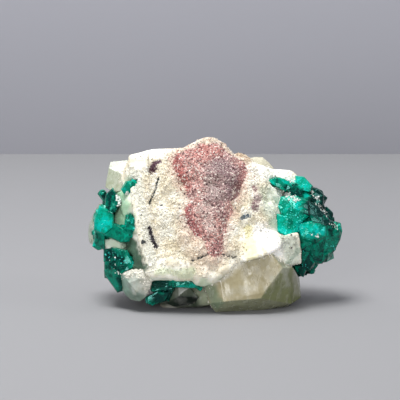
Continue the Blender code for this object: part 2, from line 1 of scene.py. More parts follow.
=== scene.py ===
"""The looks of a dioptase specimen: green crystals on white calcite, with a red druse crust on its front.

It is laid out as a Blender add-on and is run as a script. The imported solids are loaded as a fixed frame.
Each operator puts finer meshes in the place of some of them, or adds the grains that they leave out.
Units are metres, +Z is up, and the viewer stands at -Y.

As in the solids' own source, a place is three sizes in millimetres as seen from the front, looking down
by LOOK_DOWN: to the right, up across the view, and near, towards the viewer.
"""

import math
import random
from collections import namedtuple

import bmesh
import bpy
import numpy as np
from bpy.props import FloatProperty, FloatVectorProperty, IntProperty, PointerProperty
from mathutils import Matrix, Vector, noise
from mathutils.bvhtree import BVHTree


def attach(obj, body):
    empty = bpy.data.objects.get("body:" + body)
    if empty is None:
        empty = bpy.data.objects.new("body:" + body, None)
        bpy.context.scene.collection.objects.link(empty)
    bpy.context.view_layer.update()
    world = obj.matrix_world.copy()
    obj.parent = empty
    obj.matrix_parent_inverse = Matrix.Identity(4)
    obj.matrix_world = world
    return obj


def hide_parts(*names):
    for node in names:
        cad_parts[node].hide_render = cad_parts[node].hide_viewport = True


bl_info = {
    "name": "Dioptase specimen",
    "version": (1, 0, 0),
    "blender": (4, 5, 0),
    "location": "3D View > Sidebar > Specimen",
    "description": "Dresses the solids of a dioptase specimen on calcite",
    "category": "Object",
}

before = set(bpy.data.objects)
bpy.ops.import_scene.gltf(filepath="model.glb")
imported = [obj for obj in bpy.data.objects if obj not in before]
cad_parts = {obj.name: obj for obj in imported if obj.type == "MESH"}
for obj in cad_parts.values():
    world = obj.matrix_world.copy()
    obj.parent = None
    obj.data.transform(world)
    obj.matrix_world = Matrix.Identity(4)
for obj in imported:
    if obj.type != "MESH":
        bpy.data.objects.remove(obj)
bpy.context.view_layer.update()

MM = 0.001
GRAIN_SEED = 11

# The front view: how far it looks down, and in millimetres how high the table stands in it and where the
# middle of the specimen is, to the right and to the back.

LOOK_DOWN = math.radians(10.0)
TABLE_DROP = 1.563
MIDDLE_RIGHT = 0.35
MIDDLE_BACK = 3.47

# The smallest weight that a face gets where grains are strewn, so that there is always one to choose.

FAINT = 1e-9

Crystal = namedtuple("Crystal", "at towards radius length")
Patch = namedtuple("Patch", "line reach colour strength")
Shade = namedtuple("Shade", "line reach tone")
Strewn = namedtuple("Strewn", "line reach size count colour")
Plate = namedtuple("Plate", "front depth")


def seen(right, up, near):
    """The point in the world of a place in the front view."""
    back = up * math.sin(LOOK_DOWN) - near * math.cos(LOOK_DOWN)
    height = up * math.cos(LOOK_DOWN) + near * math.sin(LOOK_DOWN) - TABLE_DROP
    return Vector((right - MIDDLE_RIGHT, back - MIDDLE_BACK, height)) * MM


def heading(right, up, near):
    """The direction in the world of a direction in the front view."""
    return (seen(right, up, near) - seen(0, 0, 0)).normalized()


TOWARD_VIEWER = np.array(heading(0, 0, 1))


def places_of(points):
    """The places in the front view of these points in the world, in rows of right, up and near."""
    right = points[:, 0] / MM + MIDDLE_RIGHT
    back = points[:, 1] / MM + MIDDLE_BACK
    height = points[:, 2] / MM + TABLE_DROP
    up = back * math.sin(LOOK_DOWN) + height * math.cos(LOOK_DOWN)
    near = height * math.sin(LOOK_DOWN) - back * math.cos(LOOK_DOWN)
    return np.stack([right, up, near], axis=1)


def on_table(right, near):
    """A place in the front view that lies on the table."""
    up = (TABLE_DROP - near * math.sin(LOOK_DOWN)) / math.cos(LOOK_DOWN)
    return (right, up, near)


def linear(red, green, blue):
    """A colour in linear light, from the 0 to 255 that a screen shows."""
    shares = [value / 255 for value in (red, green, blue)]
    return tuple(s / 12.92 if s <= 0.04045 else ((s + 0.055) / 1.055) ** 2.4 for s in shares)


# The layout, in millimetres as seen from the front: the outline of the crust, and the corners of each
# calcite crystal. All crystals follow those of the solids, and some are shaped more finely.

CRUST_OUTLINE = [
    (-6.2, 28.1), (-5.2, 28.4), (-4.4, 28.9), (-3.1, 29.2), (-2.2, 29.9), (-0.8, 29.7), (0.6, 29.9),
    (1.5, 29.1), (2.7, 28.0), (4.0, 27.3), (5.3, 26.6), (6.1, 25.0), (4.9, 22.0), (4.1, 20.5),
    (2.7, 19.8), (3.1, 18.0), (2.3, 15.7), (1.6, 13.0), (1.6, 10.8), (0.4, 9.9), (-0.9, 10.8),
    (-1.6, 13.0), (-3.8, 14.4), (-4.9, 16.9), (-4.5, 18.7), (-3.6, 19.8), (-4.5, 21.1),
    (-5.0, 23.0), (-6.3, 24.5), (-7.0, 25.9), (-6.7, 27.7),
]

CALCITE_CRYSTALS = {
    "lower_right_calcite_crystal": [
        (1.0, 7.9, 10.5), (4.6, 10.4, 10.2), (9.5, 11.6, 9.9), (12.4, 8.1, 10.15), (9, 3.8, 10.7),
        (8.5, 2.7, 10.7), (3.4, 2.3, 11), (1.9, 2.1, 11.1), (-1.8, 6.0, 9.4), (-0.7, 1.8, 9.6),
        on_table(0.4, 8), on_table(9, 6), on_table(13.4, 3),
        on_table(13, -5), on_table(-1, -5), (14.4, 7.9, 7.2), (15.5, 6.1, 3.5), (15.8, 2.7, 2.5),
        (14, 1.6, 5), (-1, 9, 3), (13, 10, 2), (14, 6, -4), (0, 7, -5),
    ],
    "upper_left_calcite_crystal": [
        (-18.5, 27, -2), (-15.5, 27.4, -1.5), (-14.6, 27.2, -1), (-18.8, 25.9, -1), (-19.4, 22.5, 0.5),
        (-18, 21.6, 1.5), (-16.4, 21.8, 2), (-14.8, 24.1, 1.5), (-17.6, 26, -6), (-13.6, 26.4, -6),
        (-18, 21.5, -5.4), (-14, 21.5, -5.4),
    ],
    "far_left_calcite_crystal": [
        (-20.5, 19.6, -3), (-21.4, 18, -3.6), (-22.3, 16.2, -4.2), (-22.6, 14.2, -4.6), (-22.3, 12.4, -4.2),
        (-21.2, 11.7, -3), (-18, 19, -2), (-18, 12, -2), (-18.6, 18.4, -8), (-19.6, 15, -8.4),
        (-18.8, 12.2, -7.4),
    ],
    "upper_right_calcite_crystal": [
        (6.3, 27.7, -4.5), (7.6, 28, -5), (9, 27.9, -5), (10.1, 27, -4.5), (11, 25.9, -4),
        (8.8, 26.1, -1.5), (6.7, 26.3, -1.5), (6.5, 24, -9), (11, 23, -8.5), (9, 26.5, -9),
    ],
    "lower_left_calcite_crystal": [
        (-16.4, 7.1, 6.5), (-14.4, 7.7, 7.8), (-11.7, 7.7, 9.3), (-10.9, 5.9, 9.7), (-11.9, 3.0, 8.7),
        (-13.0, 2.1, 7.6), (-14.8, 2.3, 7), (-16.2, 4.0, 6), (-15.0, 5.4, 8.7), (-12.9, 6.2, 9.9),
        (-13.6, 3.8, 9.3), (-15.5, 7, 1), (-11, 7, 2), (-12, 3, 2), (-15, 4, 2),
    ],
    "under_calcite_crystal": [
        (-8.6, 1.8, 6.2), (-7.7, 3.8, 7.5), (-6.2, 5, 8.4), (-4.2, 4.6, 8.8), (-2.6, 2.8, 8),
        (-3.2, 1.9, 6.8), (-4.9, 1.4, 6.5), (-7, 1.1, 6.6), (-6.2, 3, 8.6),
        (-7, 4, 2), (-4, 4, 2), (-5, 2.5, 2),
    ],
}

# Where the colour of those crystals changes in front, as for the calcite itself.

CRYSTAL_PATCHES = [
    Patch([(-1.2, 5.6), (0.4, 2.0)], 1.7, (126, 154, 122), 0.75),
    Patch([(0.6, 7.6), (6.0, 10.6)], 1.6, (232, 224, 204), 0.6),
    Patch([(2.6, 3.6), (6.5, 4.4)], 1.0, (214, 208, 184), 0.5),
    Patch([(7.4, 10.4), (10.6, 8.4)], 1.0, (206, 198, 166), 0.5),
    Patch([(9.2, 4.1), (12.2, 7.9)], 0.4, (214, 212, 184), 0.7),
    Patch([(12.8, 8.4), (13.2, 5.0)], 0.7, (206, 210, 190), 0.7),
    Patch([(14.6, 7.0), (15.2, 3.5)], 1.0, (190, 190, 172), 0.7),
    Patch([(-16.0, 6.4), (-15.6, 3.6)], 0.9, (146, 190, 170), 0.7),
    Patch([(-15.0, 3.2), (-13.2, 2.6)], 1.0, (120, 156, 138), 0.6),
    Patch([(-12.3, 7.0), (-11.8, 4.0)], 1.2, (232, 232, 218), 0.8),
    Patch([(-15.8, 7.6), (-11.6, 7.6)], 1.0, (244, 246, 238), 0.9),
    Patch([(-14.2, 6.6), (-14.0, 3.6)], 0.4, (236, 240, 232), 0.7),
]

DIOPTASE_CLUSTERS = {
    "left_dioptase_cluster": [
        Crystal((-19.6, 16.5, 3), (-0.55, 0.35, 0.75), 1.75, 4.2),
        Crystal((-17.9, 19.6, 2.4), (-0.1, 0.25, 1), 1.45, 3.2),
        Crystal((-19.6, 20.9, 0.6), (-0.6, 0.8, 0.2), 0.75, 2.6),
        Crystal((-16.9, 14.6, 4.2), (1, -0.45, 0.35), 1.25, 4.8),
        Crystal((-14.7, 15.8, 5.2), (0.15, 0.9, 0.4), 1.35, 4.0),
        Crystal((-20.2, 12.9, 2), (-0.25, -0.9, 0.2), 1.2, 3.8),
        Crystal((-19.5, 17, -1.5), (-1, 0.3, -0.2), 1.6, 4.4),
        Crystal((-19.9, 14, -2), (-1, -0.5, 0.1), 1.5, 4.0),
        Crystal((-18.8, 18, 1), (-0.8, 0.6, 0.4), 1.3, 3.6),
        Crystal((-18.6, 14.6, 2), (-0.6, -0.4, 0.8), 1.4, 4.0),
    ],
    "upper_left_dioptase_crystal": [
        Crystal((-15.3, 22.4, 4.0), (0.5, 0.8, 0.3), 0.95, 2.8),
        Crystal((-14.3, 22.9, 4.0), (0.6, 0.7, 0.5), 0.85, 2.4),
    ],
    "lower_left_dioptase_cluster": [
        Crystal((-17.4, 9.6, 4.4), (-0.3, 0.2, 1), 1.9, 4.5),
        Crystal((-17.7, 7.4, 4), (-0.6, -0.5, 0.7), 1.4, 4.2),
        Crystal((-16.9, 5.9, 4.6), (0.1, -1, 0.35), 0.9, 4.2),
        Crystal((-15.2, 9.2, 5.6), (0.7, -0.2, 0.8), 1.4, 3.6),
        Crystal((-17.5, 8, 0), (-1, -0.2, -0.2), 1.8, 4.4),
        Crystal((-17.2, 7, 2.6), (-0.7, -0.4, 0.2), 1.7, 4.0),
    ],
    "lower_dioptase_seam": [
        Crystal((-9, 5.1, 8.9), (1, 0.15, 0.1), 1.3, 4.4),
        Crystal((-5.6, 5.7, 9.2), (1, -0.1, 0.1), 1.05, 4.6),
        Crystal((-3.2, 5, 9.5), (1, -0.55, 0), 0.5, 3.0),
        Crystal((-10, 2.9, 7.9), (1, 0.55, 0.1), 1.2, 4.6),
        Crystal((-7.9, 3.6, 8), (0.6, 1, 0.2), 0.9, 3.2),
    ],
    "right_dioptase_cluster": [
        Crystal((11.7, 23.2, 1.5), (-1, 0.1, 0.3), 1.0, 3.4),
        Crystal((12.9, 23, 1.5), (0.1, 0.8, 0.6), 0.9, 2.8),
        Crystal((14.4, 22, 1), (0.1, 0.7, 0.8), 1.5, 3.8),
        Crystal((15.8, 22.7, 0), (0.6, 0.9, 0.2), 1.4, 3.4),
        Crystal((18.1, 20.4, -1), (0.8, 0.7, 0.1), 1.4, 4.4),
        Crystal((16.2, 20.2, 1.5), (0.2, 0.2, 1), 1.6, 3.8),
        Crystal((14.2, 18.4, 2), (-0.2, 0.1, 1), 2.3, 4.8),
        Crystal((13, 15.5, 3), (-0.3, -0.3, 0.9), 1.9, 4.4),
        Crystal((17.6, 18.2, 0.5), (0.4, 0.1, 1), 1.8, 4.6),
        Crystal((19.7, 17.3, -1.5), (1, 0.25, 0.2), 1.6, 4.2),
        Crystal((17.1, 14.6, 2.5), (0.2, -0.3, 1), 2.2, 4.8),
        Crystal((21.1, 14.6, 0), (1, 0, 0.3), 1.8, 4.6),
        Crystal((16.2, 12.4, 2), (0.1, -0.7, 0.8), 1.5, 4.0),
        Crystal((19.5, 11.7, 0), (0.35, -1, 0.3), 2.3, 6.0),
        Crystal((16.7, 9.5, 1), (0.2, -1, 0.5), 1.4, 4.2),
        Crystal((15.5, 7.9, 1), (-0.1, -1, 0.4), 1.1, 3.4),
        Crystal((18, 20, -4.5), (0.8, 0.6, -0.6), 2.2, 5.0),
        Crystal((20, 13.5, -4), (1, -0.1, -0.5), 2.4, 5.4),
        Crystal((16.8, 9.0, -2.5), (0.6, -0.8, -0.3), 2.0, 4.8),
        Crystal((18.6, 16.5, -1), (1, 0.1, 0.1), 2.4, 5.0),
    ],
}

# The larger flat crystals in front of those: the corners of their front, and how far they go back.

DIOPTASE_PLATES = {
    "left_dioptase_cluster": [
        Plate([(-19.1, 21.1, 3.4), (-18, 22.1, 3.2), (-16.6, 20, 4.0), (-17.5, 18, 4.6), (-18.5, 18.2, 4.6),
               (-19.3, 19.4, 3.8)], 2.5),
        Plate([(-20.3, 18.9, 3.6), (-18, 17.8, 5.0), (-18, 15.3, 5.5), (-19.4, 14.2, 5.1), (-21.2, 14.8, 3.8),
               (-21.1, 16.6, 4.0)], 3.5),
        Plate([(-18.4, 16.2, 5.0), (-16.2, 14.9, 5.8), (-14.8, 14.2, 6.2), (-15.1, 12.9, 6.0),
               (-16.6, 12.7, 5.6), (-19.2, 13.9, 4.6)], 2.5),
        Plate([(-14.9, 17.6, 6.2), (-13.8, 16.6, 6.6), (-13.4, 14.8, 6.8), (-13.6, 13.6, 6.6),
               (-14.9, 13.5, 6.2), (-15.5, 15.0, 6.0)], 2.0),
        Plate([(-21.1, 14.6, 2.8), (-19.4, 14, 4.0), (-19.6, 12.8, 4.0), (-19.4, 11.2, 3.4),
               (-21.2, 12.4, 2.4)], 3.0),
    ],
    "lower_left_dioptase_cluster": [
        Plate([(-19.3, 11.2, 4.6), (-17.2, 11.4, 5.8), (-15.5, 11, 6.8), (-14.2, 8.3, 7.2), (-16.4, 7, 6.8),
               (-19.3, 9.2, 5.0)], 3.0),
        Plate([(-19.3, 8.9, 4.6), (-17.8, 7.9, 6.2), (-16.5, 7, 6.6), (-16.3, 4.2, 6.2), (-17.2, 3.9, 5.6),
               (-19.3, 6.8, 4.4)], 3.0),
    ],
    "lower_dioptase_seam": [
        Plate([(-11, 4.3, 8.8), (-10.1, 5.4, 9.2), (-6.8, 6.1, 10.0), (-7.4, 4.2, 9.8),
               (-10.8, 3.9, 8.8)], 2.0),
        Plate([(-7.4, 6.0, 9.9), (-5.4, 6.3, 10.2), (-3.8, 5.5, 10.3), (-2.2, 4.5, 10.2), (-3.8, 4.7, 10.1),
               (-5.4, 4.9, 10.0), (-6.9, 4.7, 9.8)], 2.0),
        Plate([(-11.3, 2.7, 8.0), (-9.5, 3.7, 8.8), (-7.7, 3.8, 9.1), (-8.6, 2.2, 8.4),
               (-10.4, 1.6, 7.8)], 2.5),
    ],
    "right_dioptase_cluster": [
        Plate([(9.7, 23.6, 2.1), (11.3, 24.2, 2.4), (13.5, 23.8, 2.6), (14.2, 22.3, 3.1), (12.8, 21.8, 3.1),
               (11.2, 22.7, 2.7)], 1.5),
        Plate([(13.1, 22.7, 2.8), (14.9, 23.2, 2.4), (16.2, 22.3, 2.6), (15.8, 20.9, 3.4),
               (14.2, 20.7, 3.6)], 2.5),
        Plate([(14.9, 24.4, 0.8), (16.4, 24.2, 0.7), (17.8, 22.7, 1.4), (17.3, 21.6, 2.1), (16, 22, 2.6),
               (15.1, 23.2, 2.0)], 2.5),
        Plate([(17.8, 22.4, 0.6), (18.9, 22, 0.2), (19.8, 21.2, -0.2), (19.8, 19.4, 0.2), (18.9, 18.9, 1.1),
               (17.6, 20.2, 1.8)], 3.0),
        Plate([(12.4, 20.5, 3.4), (14.9, 20.9, 3.6), (16.9, 19.8, 3.6), (17.1, 17.6, 4.2), (15.3, 16.2, 5.0),
               (13, 16.9, 5.1), (11.9, 18.7, 4.2), (14.6, 18.6, 5.0)], 3.5),
        Plate([(11.4, 17.6, 4.6), (13.3, 17.1, 5.3), (15.3, 16.2, 5.1), (15.1, 14.6, 5.2), (13.1, 13.9, 5.4),
               (11.4, 14.8, 4.9)], 3.0),
        Plate([(16.9, 20.2, 2.8), (18.9, 18.9, 1.8), (21.2, 16.2, 1.6), (20, 15.7, 2.8), (17.8, 16.2, 3.8),
               (17.1, 18, 3.6)], 3.0),
        Plate([(15.3, 15.8, 4.7), (17.8, 16.2, 4.5), (20, 15.7, 3.4), (20, 13.7, 3.8), (18.2, 12.6, 4.7),
               (16, 13.3, 5.1), (17.8, 14.6, 5.3)], 3.0),
        Plate([(20, 15.7, 3.0), (21.4, 16.3, 1.6), (22.9, 14.6, 0.6), (22.6, 13, 0.6), (20.5, 13, 2.9)], 3.0),
        Plate([(14.9, 13.5, 4.1), (16.4, 13.7, 4.6), (17.8, 12.4, 4.4), (17.3, 11, 4.0),
               (15.7, 11.2, 4.0)], 2.5),
        Plate([(17.8, 13, 3.8), (20.3, 13.5, 3.2), (22.6, 13, 1.0), (21.6, 11, 0.9), (19.6, 9, 1.6),
               (18.2, 9.2, 2.6), (17.5, 11, 3.7)], 3.5),
        Plate([(15.8, 11, 3.6), (17.3, 10.8, 3.5), (18.2, 9, 2.6), (17.3, 7.6, 2.2), (16, 7.9, 2.6)], 2.5),
        Plate([(14.6, 8.3, 2.7), (16, 8.3, 2.8), (16.7, 7.6, 2.3), (16.2, 6.4, 1.8), (15.1, 7, 2.1)], 2.0),
    ],
}

# How bright the dioptase is from place to place, partly its own depth of colour and partly painted light and
# shade: a line of places, how far it reaches, and its tone, from 0 for dark to 1 for bright. A tone below 0
# is painted shade that makes up for faces that catch more light.

DIOPTASE_TONES_AND_PAINTED_SHADE = [
    Shade([(13.0, 20.0), (12.5, 17.0), (14.8, 17.0)], 2.4, 0.52),
    Shade([(9.9, 23.2), (12.0, 23.6)], 1.0, 0.42),
    Shade([(12.4, 23.2), (13.4, 23.2)], 0.9, 0.75),
    Shade([(13.6, 22.0), (15.4, 21.4)], 1.3, 0.16),
    Shade([(15.6, 23.6), (17.6, 22.6)], 1.3, 0.65),
    Shade([(19.0, 21.6), (19.6, 19.6), (17.6, 18.8), (20.6, 16.8)], 2.1, -0.12),
    Shade([(11.6, 14.6), (14.4, 14.0)], 0.9, 1.0),
    Shade([(15.8, 15.1), (19.0, 14.5), (20.4, 14.2)], 1.4, 0.8),
    Shade([(21.2, 15.2), (22.4, 13.6)], 1.2, 0.4),
    Shade([(15.4, 12.2), (17.0, 12.0)], 1.3, 0.18),
    Shade([(18.6, 12.0), (21.6, 12.2), (19.6, 10.0)], 1.8, 0.22),
    Shade([(16.2, 10.2), (16.8, 8.6), (15.8, 7.0)], 1.6, 0.03),
    Shade([(-19.8, 21.3), (-19.6, 20.8)], 0.8, 0.5),
    Shade([(-18.4, 20.8), (-17.8, 18.6)], 1.8, -0.05),
    Shade([(-20.3, 17.0), (-19.4, 15.0)], 1.6, 0.62),
    Shade([(-20.8, 12.8), (-20.0, 11.6)], 1.3, 0.3),
    Shade([(-18.0, 15.0), (-15.0, 13.8)], 1.2, 0.45),
    Shade([(-15.0, 17.0), (-13.6, 15.6)], 1.2, 0.25),
    Shade([(-16.0, 22.0), (-14.4, 23.4)], 1.4, 0.65),
    Shade([(-18.5, 10.4), (-16.0, 8.0)], 1.7, 0.08),
    Shade([(-18.8, 7.4), (-17.3, 3.6)], 1.1, 0.38),
    Shade([(-17.0, 6.8), (-16.6, 4.4)], 0.6, 0.05),
    Shade([(-10.4, 2.8), (-8.6, 2.6)], 1.2, 0.0),
    Shade([(-11.0, 5.0), (-8.5, 5.2)], 1.1, 0.05),
    Shade([(-9.0, 4.4), (-7.4, 3.8)], 0.8, -0.1),
    Shade([(-7.0, 5.8), (-3.0, 4.8)], 0.8, 0.42),
]

# Where chips of white calcite lie on the dioptase, and small cyan grains that are painted glints: a line of
# places, how far they reach, their size, their number and their colour. The white chips on the dark crystals
# are partly painted glints too.

CHIP_WHITE = (244, 250, 244)
# Painted glints: the colour of the small grains that stand in for bright reflections.
GLINT_CYAN = (50, 228, 214)
CHIPPED = [
    Strewn([(9.8, 22.0), (12.6, 21.4), (15.0, 20.2)], 0.6, 0.15, 380, CHIP_WHITE),
    Strewn([(12.4, 24.4), (14.6, 23.6)], 0.5, 0.16, 150, CHIP_WHITE),
    Strewn([(17.8, 21.4), (18.9, 20.2)], 0.45, 0.13, 110, CHIP_WHITE),
    Strewn([(19.0, 19.2), (20.6, 17.4)], 0.6, 0.11, 120, CHIP_WHITE),
    Strewn([(21.4, 16.0), (22.3, 15.2)], 0.5, 0.11, 70, CHIP_WHITE),
    Strewn([(17.6, 14.2), (18.6, 13.8)], 0.4, 0.12, 60, CHIP_WHITE),
    Strewn([(-17.8, 9.6), (-17.0, 7.2)], 0.6, 0.12, 130, CHIP_WHITE),
    Strewn([(-17.0, 20.6), (-16.4, 18.2)], 0.5, 0.15, 120, CHIP_WHITE),
    Strewn([(-15.2, 21.2), (-15.6, 20.2)], 0.4, 0.14, 50, CHIP_WHITE),
    Strewn([(12.6, 19.4), (15.0, 17.0), (13.0, 15.2)], 1.9, 0.1, 420, GLINT_CYAN),
    Strewn([(15.6, 14.6), (19.4, 14.4)], 1.3, 0.1, 200, GLINT_CYAN),
    Strewn([(15.4, 23.6), (17.0, 22.2)], 0.8, 0.1, 80, GLINT_CYAN),
    Strewn([(16.0, 10.6), (16.8, 8.2)], 0.9, 0.1, 90, GLINT_CYAN),
    Strewn([(20.6, 12.4), (21.8, 11.6)], 0.6, 0.1, 40, GLINT_CYAN),
    Strewn([(-18.6, 10.6), (-14.8, 9.0)], 0.9, 0.1, 120, GLINT_CYAN),
    Strewn([(-14.6, 16.6), (-13.6, 14.6)], 0.7, 0.1, 60, GLINT_CYAN),
]

# Where the calcite is sandy, and where inside that it is smoother: a line of places, how far it reaches,
# and how sandy it is there.

SANDY_OUTLINE = [
    (-15, 26.5), (-7, 28.6), (0, 31.5), (8, 28), (14, 25.5), (12.5, 19), (10, 15.5), (5.5, 13.5), (5, 10),
    (-1, 7.5), (-11.6, 7.5),
]
SMOOTHER = [
    Shade([(-9, 9.0), (-4, 8.0), (0, 7.2)], 1.5, 0.45),
    Shade([(-13.6, 27), (-10.5, 27.4)], 1.6, 0.35),
    Shade([(9.6, 26), (12.6, 24), (11, 19)], 2.6, 0.35),
    Shade([(13, 12.8), (15, 10)], 2.4, 0.5),
]

# Where the crust's colour changes: a line of places, how far the colour reaches, the colour, its strength.

CRUST_PATCHES = [
    Patch([(-3.4, 28.6), (0.6, 28.6)], 2.0, (196, 126, 118), 0.6),
    Patch([(-6.4, 27.6), (-6.2, 25.0), (-4.8, 22.6)], 1.4, (186, 104, 98), 0.8),
    Patch([(-4.6, 18.6), (-4.4, 16.6), (-2.8, 14.4)], 1.2, (172, 98, 98), 0.8),
    Patch([(1.0, 26.6), (3.6, 25.0), (3.2, 21.4)], 1.9, (146, 120, 124), 0.7),
    Patch([(5.4, 26.0), (4.6, 22.6)], 0.9, (148, 96, 96), 0.7),
    Patch([(-0.8, 23.6), (0.6, 21.0)], 1.5, (198, 178, 174), 0.6),
    Patch([(-1.4, 18.6), (-0.4, 15.4)], 1.6, (214, 192, 184), 0.6),
    Patch([(0.8, 12.8), (0.2, 10.8)], 1.1, (166, 112, 112), 0.6),
]

# The same for the front of the calcite.

CALCITE_PATCHES = [
    Patch([(-4, 13.5), (-1, 9.5)], 3.2, (229, 206, 184), 0.5),
    Patch([(-8, 12), (-6.5, 9.5)], 2.0, (226, 214, 184), 0.45),
    Patch([(-14, 28.6), (-9.4, 28.8)], 1.3, (244, 242, 230), 0.9),
    Patch([(-14, 26), (-13.2, 20.2), (-12, 14.8), (-10.8, 8)], 1.2, (238, 238, 226), 0.8),
    Patch([(-17, 21.5), (-15.6, 15.5)], 2.3, (160, 204, 168), 0.85),
    Patch([(-19, 13), (-16.4, 12)], 1.7, (206, 220, 198), 0.9),
    # Partly painted shade: dark green on the left side, which faces away from the light, partly its own
    # green.
    Patch([(-15.2, 13.4), (-13.2, 8)], 2.0, (34, 76, 56), 0.95),
    Patch([(-2.4, 31.4), (2.2, 31.2)], 1.2, (216, 200, 180), 0.6),
    Patch([(6.4, 15), (6.8, 10.2)], 1.3, (232, 226, 184), 0.85),
    Patch([(8.2, 26), (12.4, 24.4), (11, 19)], 2.4, (246, 246, 238), 0.8),
    Patch([(8.5, 14.5), (11.5, 11.5)], 2.1, (246, 244, 238), 1.0),
    Patch([(13.6, 12.6), (14, 9.6)], 2.1, (200, 206, 192), 0.9),
    Patch([(13.4, 9.0), (15.2, 11.0)], 0.6, (150, 168, 150), 0.6),
    Patch([(9.6, 21), (11.2, 17)], 2.2, (218, 228, 206), 0.6),
    Patch([(10.8, 16), (12.5, 14.2)], 1.2, (190, 214, 192), 0.6),
    Patch([(-4, 3), (0.5, 2), (2, 5)], 2.4, (142, 152, 126), 0.9),
    Patch([(-1.8, 5.8), (0.6, 4)], 0.9, (180, 200, 170), 0.7),
    # Painted shade: near-black low on the front under the block, darkening it as a contact shadow would.
    Patch([(-10, 3), (-4, 2)], 2.2, (40, 56, 42), 0.9),
    Patch([(-9.5, 7.6), (-4, 7.2)], 1.0, (196, 210, 176), 0.6),
    Patch([(4.4, 28.4), (6.6, 27.8)], 1.2, (196, 168, 134), 0.55),
    Patch([(7.2, 22.3), (8, 20.2), (7.5, 18.9)], 0.9, (190, 164, 162), 0.5),
]

# The dark filling of the cracks: dark mineral, and along the two seams by the rim partly painted shade of the
# gap there. A line of places, how far it reaches, its colour, and how thick it lies.

DARK_SEAMS_AND_PAINTED_SHADE = [
    Patch([(-11.0, 25.4), (-10.6, 26.3)], 0.68, (84, 46, 62), 1.0),
    Patch([(-10.3, 26.8), (-9.6, 27.0)], 0.32, (110, 78, 92), 0.9),
    # This seam and the next run along the rim; their dark colour is partly painted shade in the gap there.
    Patch([(-9.8, 24), (-10.3, 22), (-10.9, 20.6), (-11.4, 19.5)], 0.18, (26, 40, 40), 1.0),
    Patch([(-11.3, 15.2), (-10.9, 13.4), (-10.1, 11.7)], 0.34, (40, 30, 40), 1.0),
    Patch([(-3.7, 9.4), (-2.4, 9.9), (-1.3, 10.4), (-0.4, 10.6), (0.8, 10.3)], 0.16, (54, 56, 54), 1.0),
    Patch([(-0.2, 10.4), (1.0, 10.9)], 0.4, (120, 86, 90), 0.6),
    Patch([(1.4, 10.5), (2.6, 10.2), (4, 9.9)], 0.15, (70, 70, 68), 0.8),
    Patch([(5.1, 16.9), (5.7, 17.2), (6.4, 17.3)], 0.34, (78, 104, 120), 0.8),
    Patch([(7.3, 22.5), (7.6, 21.9)], 0.34, (150, 112, 112), 0.5),
    Patch([(7.3, 19.6), (8, 20.4), (7.4, 18.5)], 0.6, (150, 120, 124), 0.4),
]


# The sizes and colours that a user would change.


def length_setting(name, description, millimetres):
    """A length, whose default is given in millimetres."""
    return FloatProperty(name=name, description=description, default=millimetres * MM, unit="LENGTH")


def count_setting(name, description, usual):
    """A whole number."""
    return IntProperty(name=name, description=description, default=usual)


def colour_setting(name, description, *shown):
    """A colour, whose default is given as the 0 to 255 that a screen shows."""
    return FloatVectorProperty(name=name, description=description, default=linear(*shown), subtype="COLOR")


class SpecimenSizes(bpy.types.PropertyGroup):
    """How fine the relief and the grains are."""

    skin_cell: length_setting("Skin cell", "Size of one face of the calcite's skin", 0.27)
    skin_grow: length_setting("Skin growth", "How far the skin closes the gap round each crystal", 0.26)
    crumb_relief: length_setting("Crumb relief", "Height of the crumbly front's relief", 0.17)
    ledge_height: length_setting("Ledge height", "Height of the cleavage steps on the back", 0.22)
    druse_grain: length_setting("Druse grain", "Usual size of a grain of the crust", 0.23)
    druse_count: count_setting("Druse grains", "How many grains lie on the crust itself", 17000)
    crumb_grain: length_setting("Crumb", "Usual size of a loose crumb of calcite", 0.18)
    crumb_count: count_setting("Crumbs", "How many crumbs lie on the calcite", 9000)
    contact_count: count_setting("Contact crumbs", "How many crumbs lie on the calcite crystals", 3400)
    speck_count: count_setting("Specks", "How many dark specks lie on the front", 200)
    crystal_edge: length_setting("Crystal edge", "Width of a crystal's worn edge", 0.05)


class SpecimenColours(bpy.types.PropertyGroup):
    """What colour each mineral is."""

    calcite_white: colour_setting("White calcite", "Its brightest places", 246, 243, 230)
    calcite_cream: colour_setting("Cream calcite", "Its usual colour in front", 231, 222, 199)
    calcite_sand: colour_setting("Sandy calcite", "Its pits and hollows", 205, 194, 160)
    calcite_green: colour_setting("Green calcite", "Where light comes through from dioptase", 150, 192, 166)
    calcite_blush: colour_setting("Blushing calcite", "Round the red crust", 222, 186, 176)
    druse_pink: colour_setting("Pink druse", "The crust's lighter grains", 202, 154, 146)
    druse_purple: colour_setting("Purple druse", "The crust's greyer grains", 172, 144, 142)
    druse_white: colour_setting("White druse", "Its bright grains", 238, 226, 216)
    druse_dark: colour_setting("Dark druse", "Its dark grains", 108, 68, 70)
    dioptase_light: colour_setting("Light dioptase", "The crystals' brightest parts", 0, 222, 208)
    dioptase_middle: colour_setting("Dioptase", "The crystals' usual colour", 0, 156, 124)
    dioptase_deep: colour_setting("Deep dioptase", "The crystals' darkest parts", 0, 50, 44)


# Shader nodes.


def node(tree, kind, inputs=None, **settings):
    """A new node with its settings, and its inputs set to a value or linked to a socket."""
    made = tree.nodes.new(kind)
    for name, value in settings.items():
        setattr(made, name, value)
    for name, value in (inputs or {}).items():
        if isinstance(value, bpy.types.NodeSocket):
            tree.links.new(value, made.inputs[name])
        else:
            made.inputs[name].default_value = value
    return made


def attribute(tree, name, output):
    """The socket of a colour, number or vector that the meshes carry."""
    return node(tree, "ShaderNodeAttribute", attribute_name=name).outputs[output]


def maths(tree, operation, first, second):
    """The socket of two values added, multiplied or the like."""
    return node(tree, "ShaderNodeMath", {0: first, 1: second}, operation=operation).outputs[0]


def vector_maths(tree, operation, first, second, output="Vector"):
    """The same for two vectors."""
    made = node(tree, "ShaderNodeVectorMath", {0: first, 1: second}, operation=operation)
    return made.outputs[output]


def clouds(tree, place, scale, detail):
    """The socket of smooth noise."""
    inputs = {"Vector": place, "Scale": scale, "Detail": detail}
    return node(tree, "ShaderNodeTexNoise", inputs).outputs["Fac"]


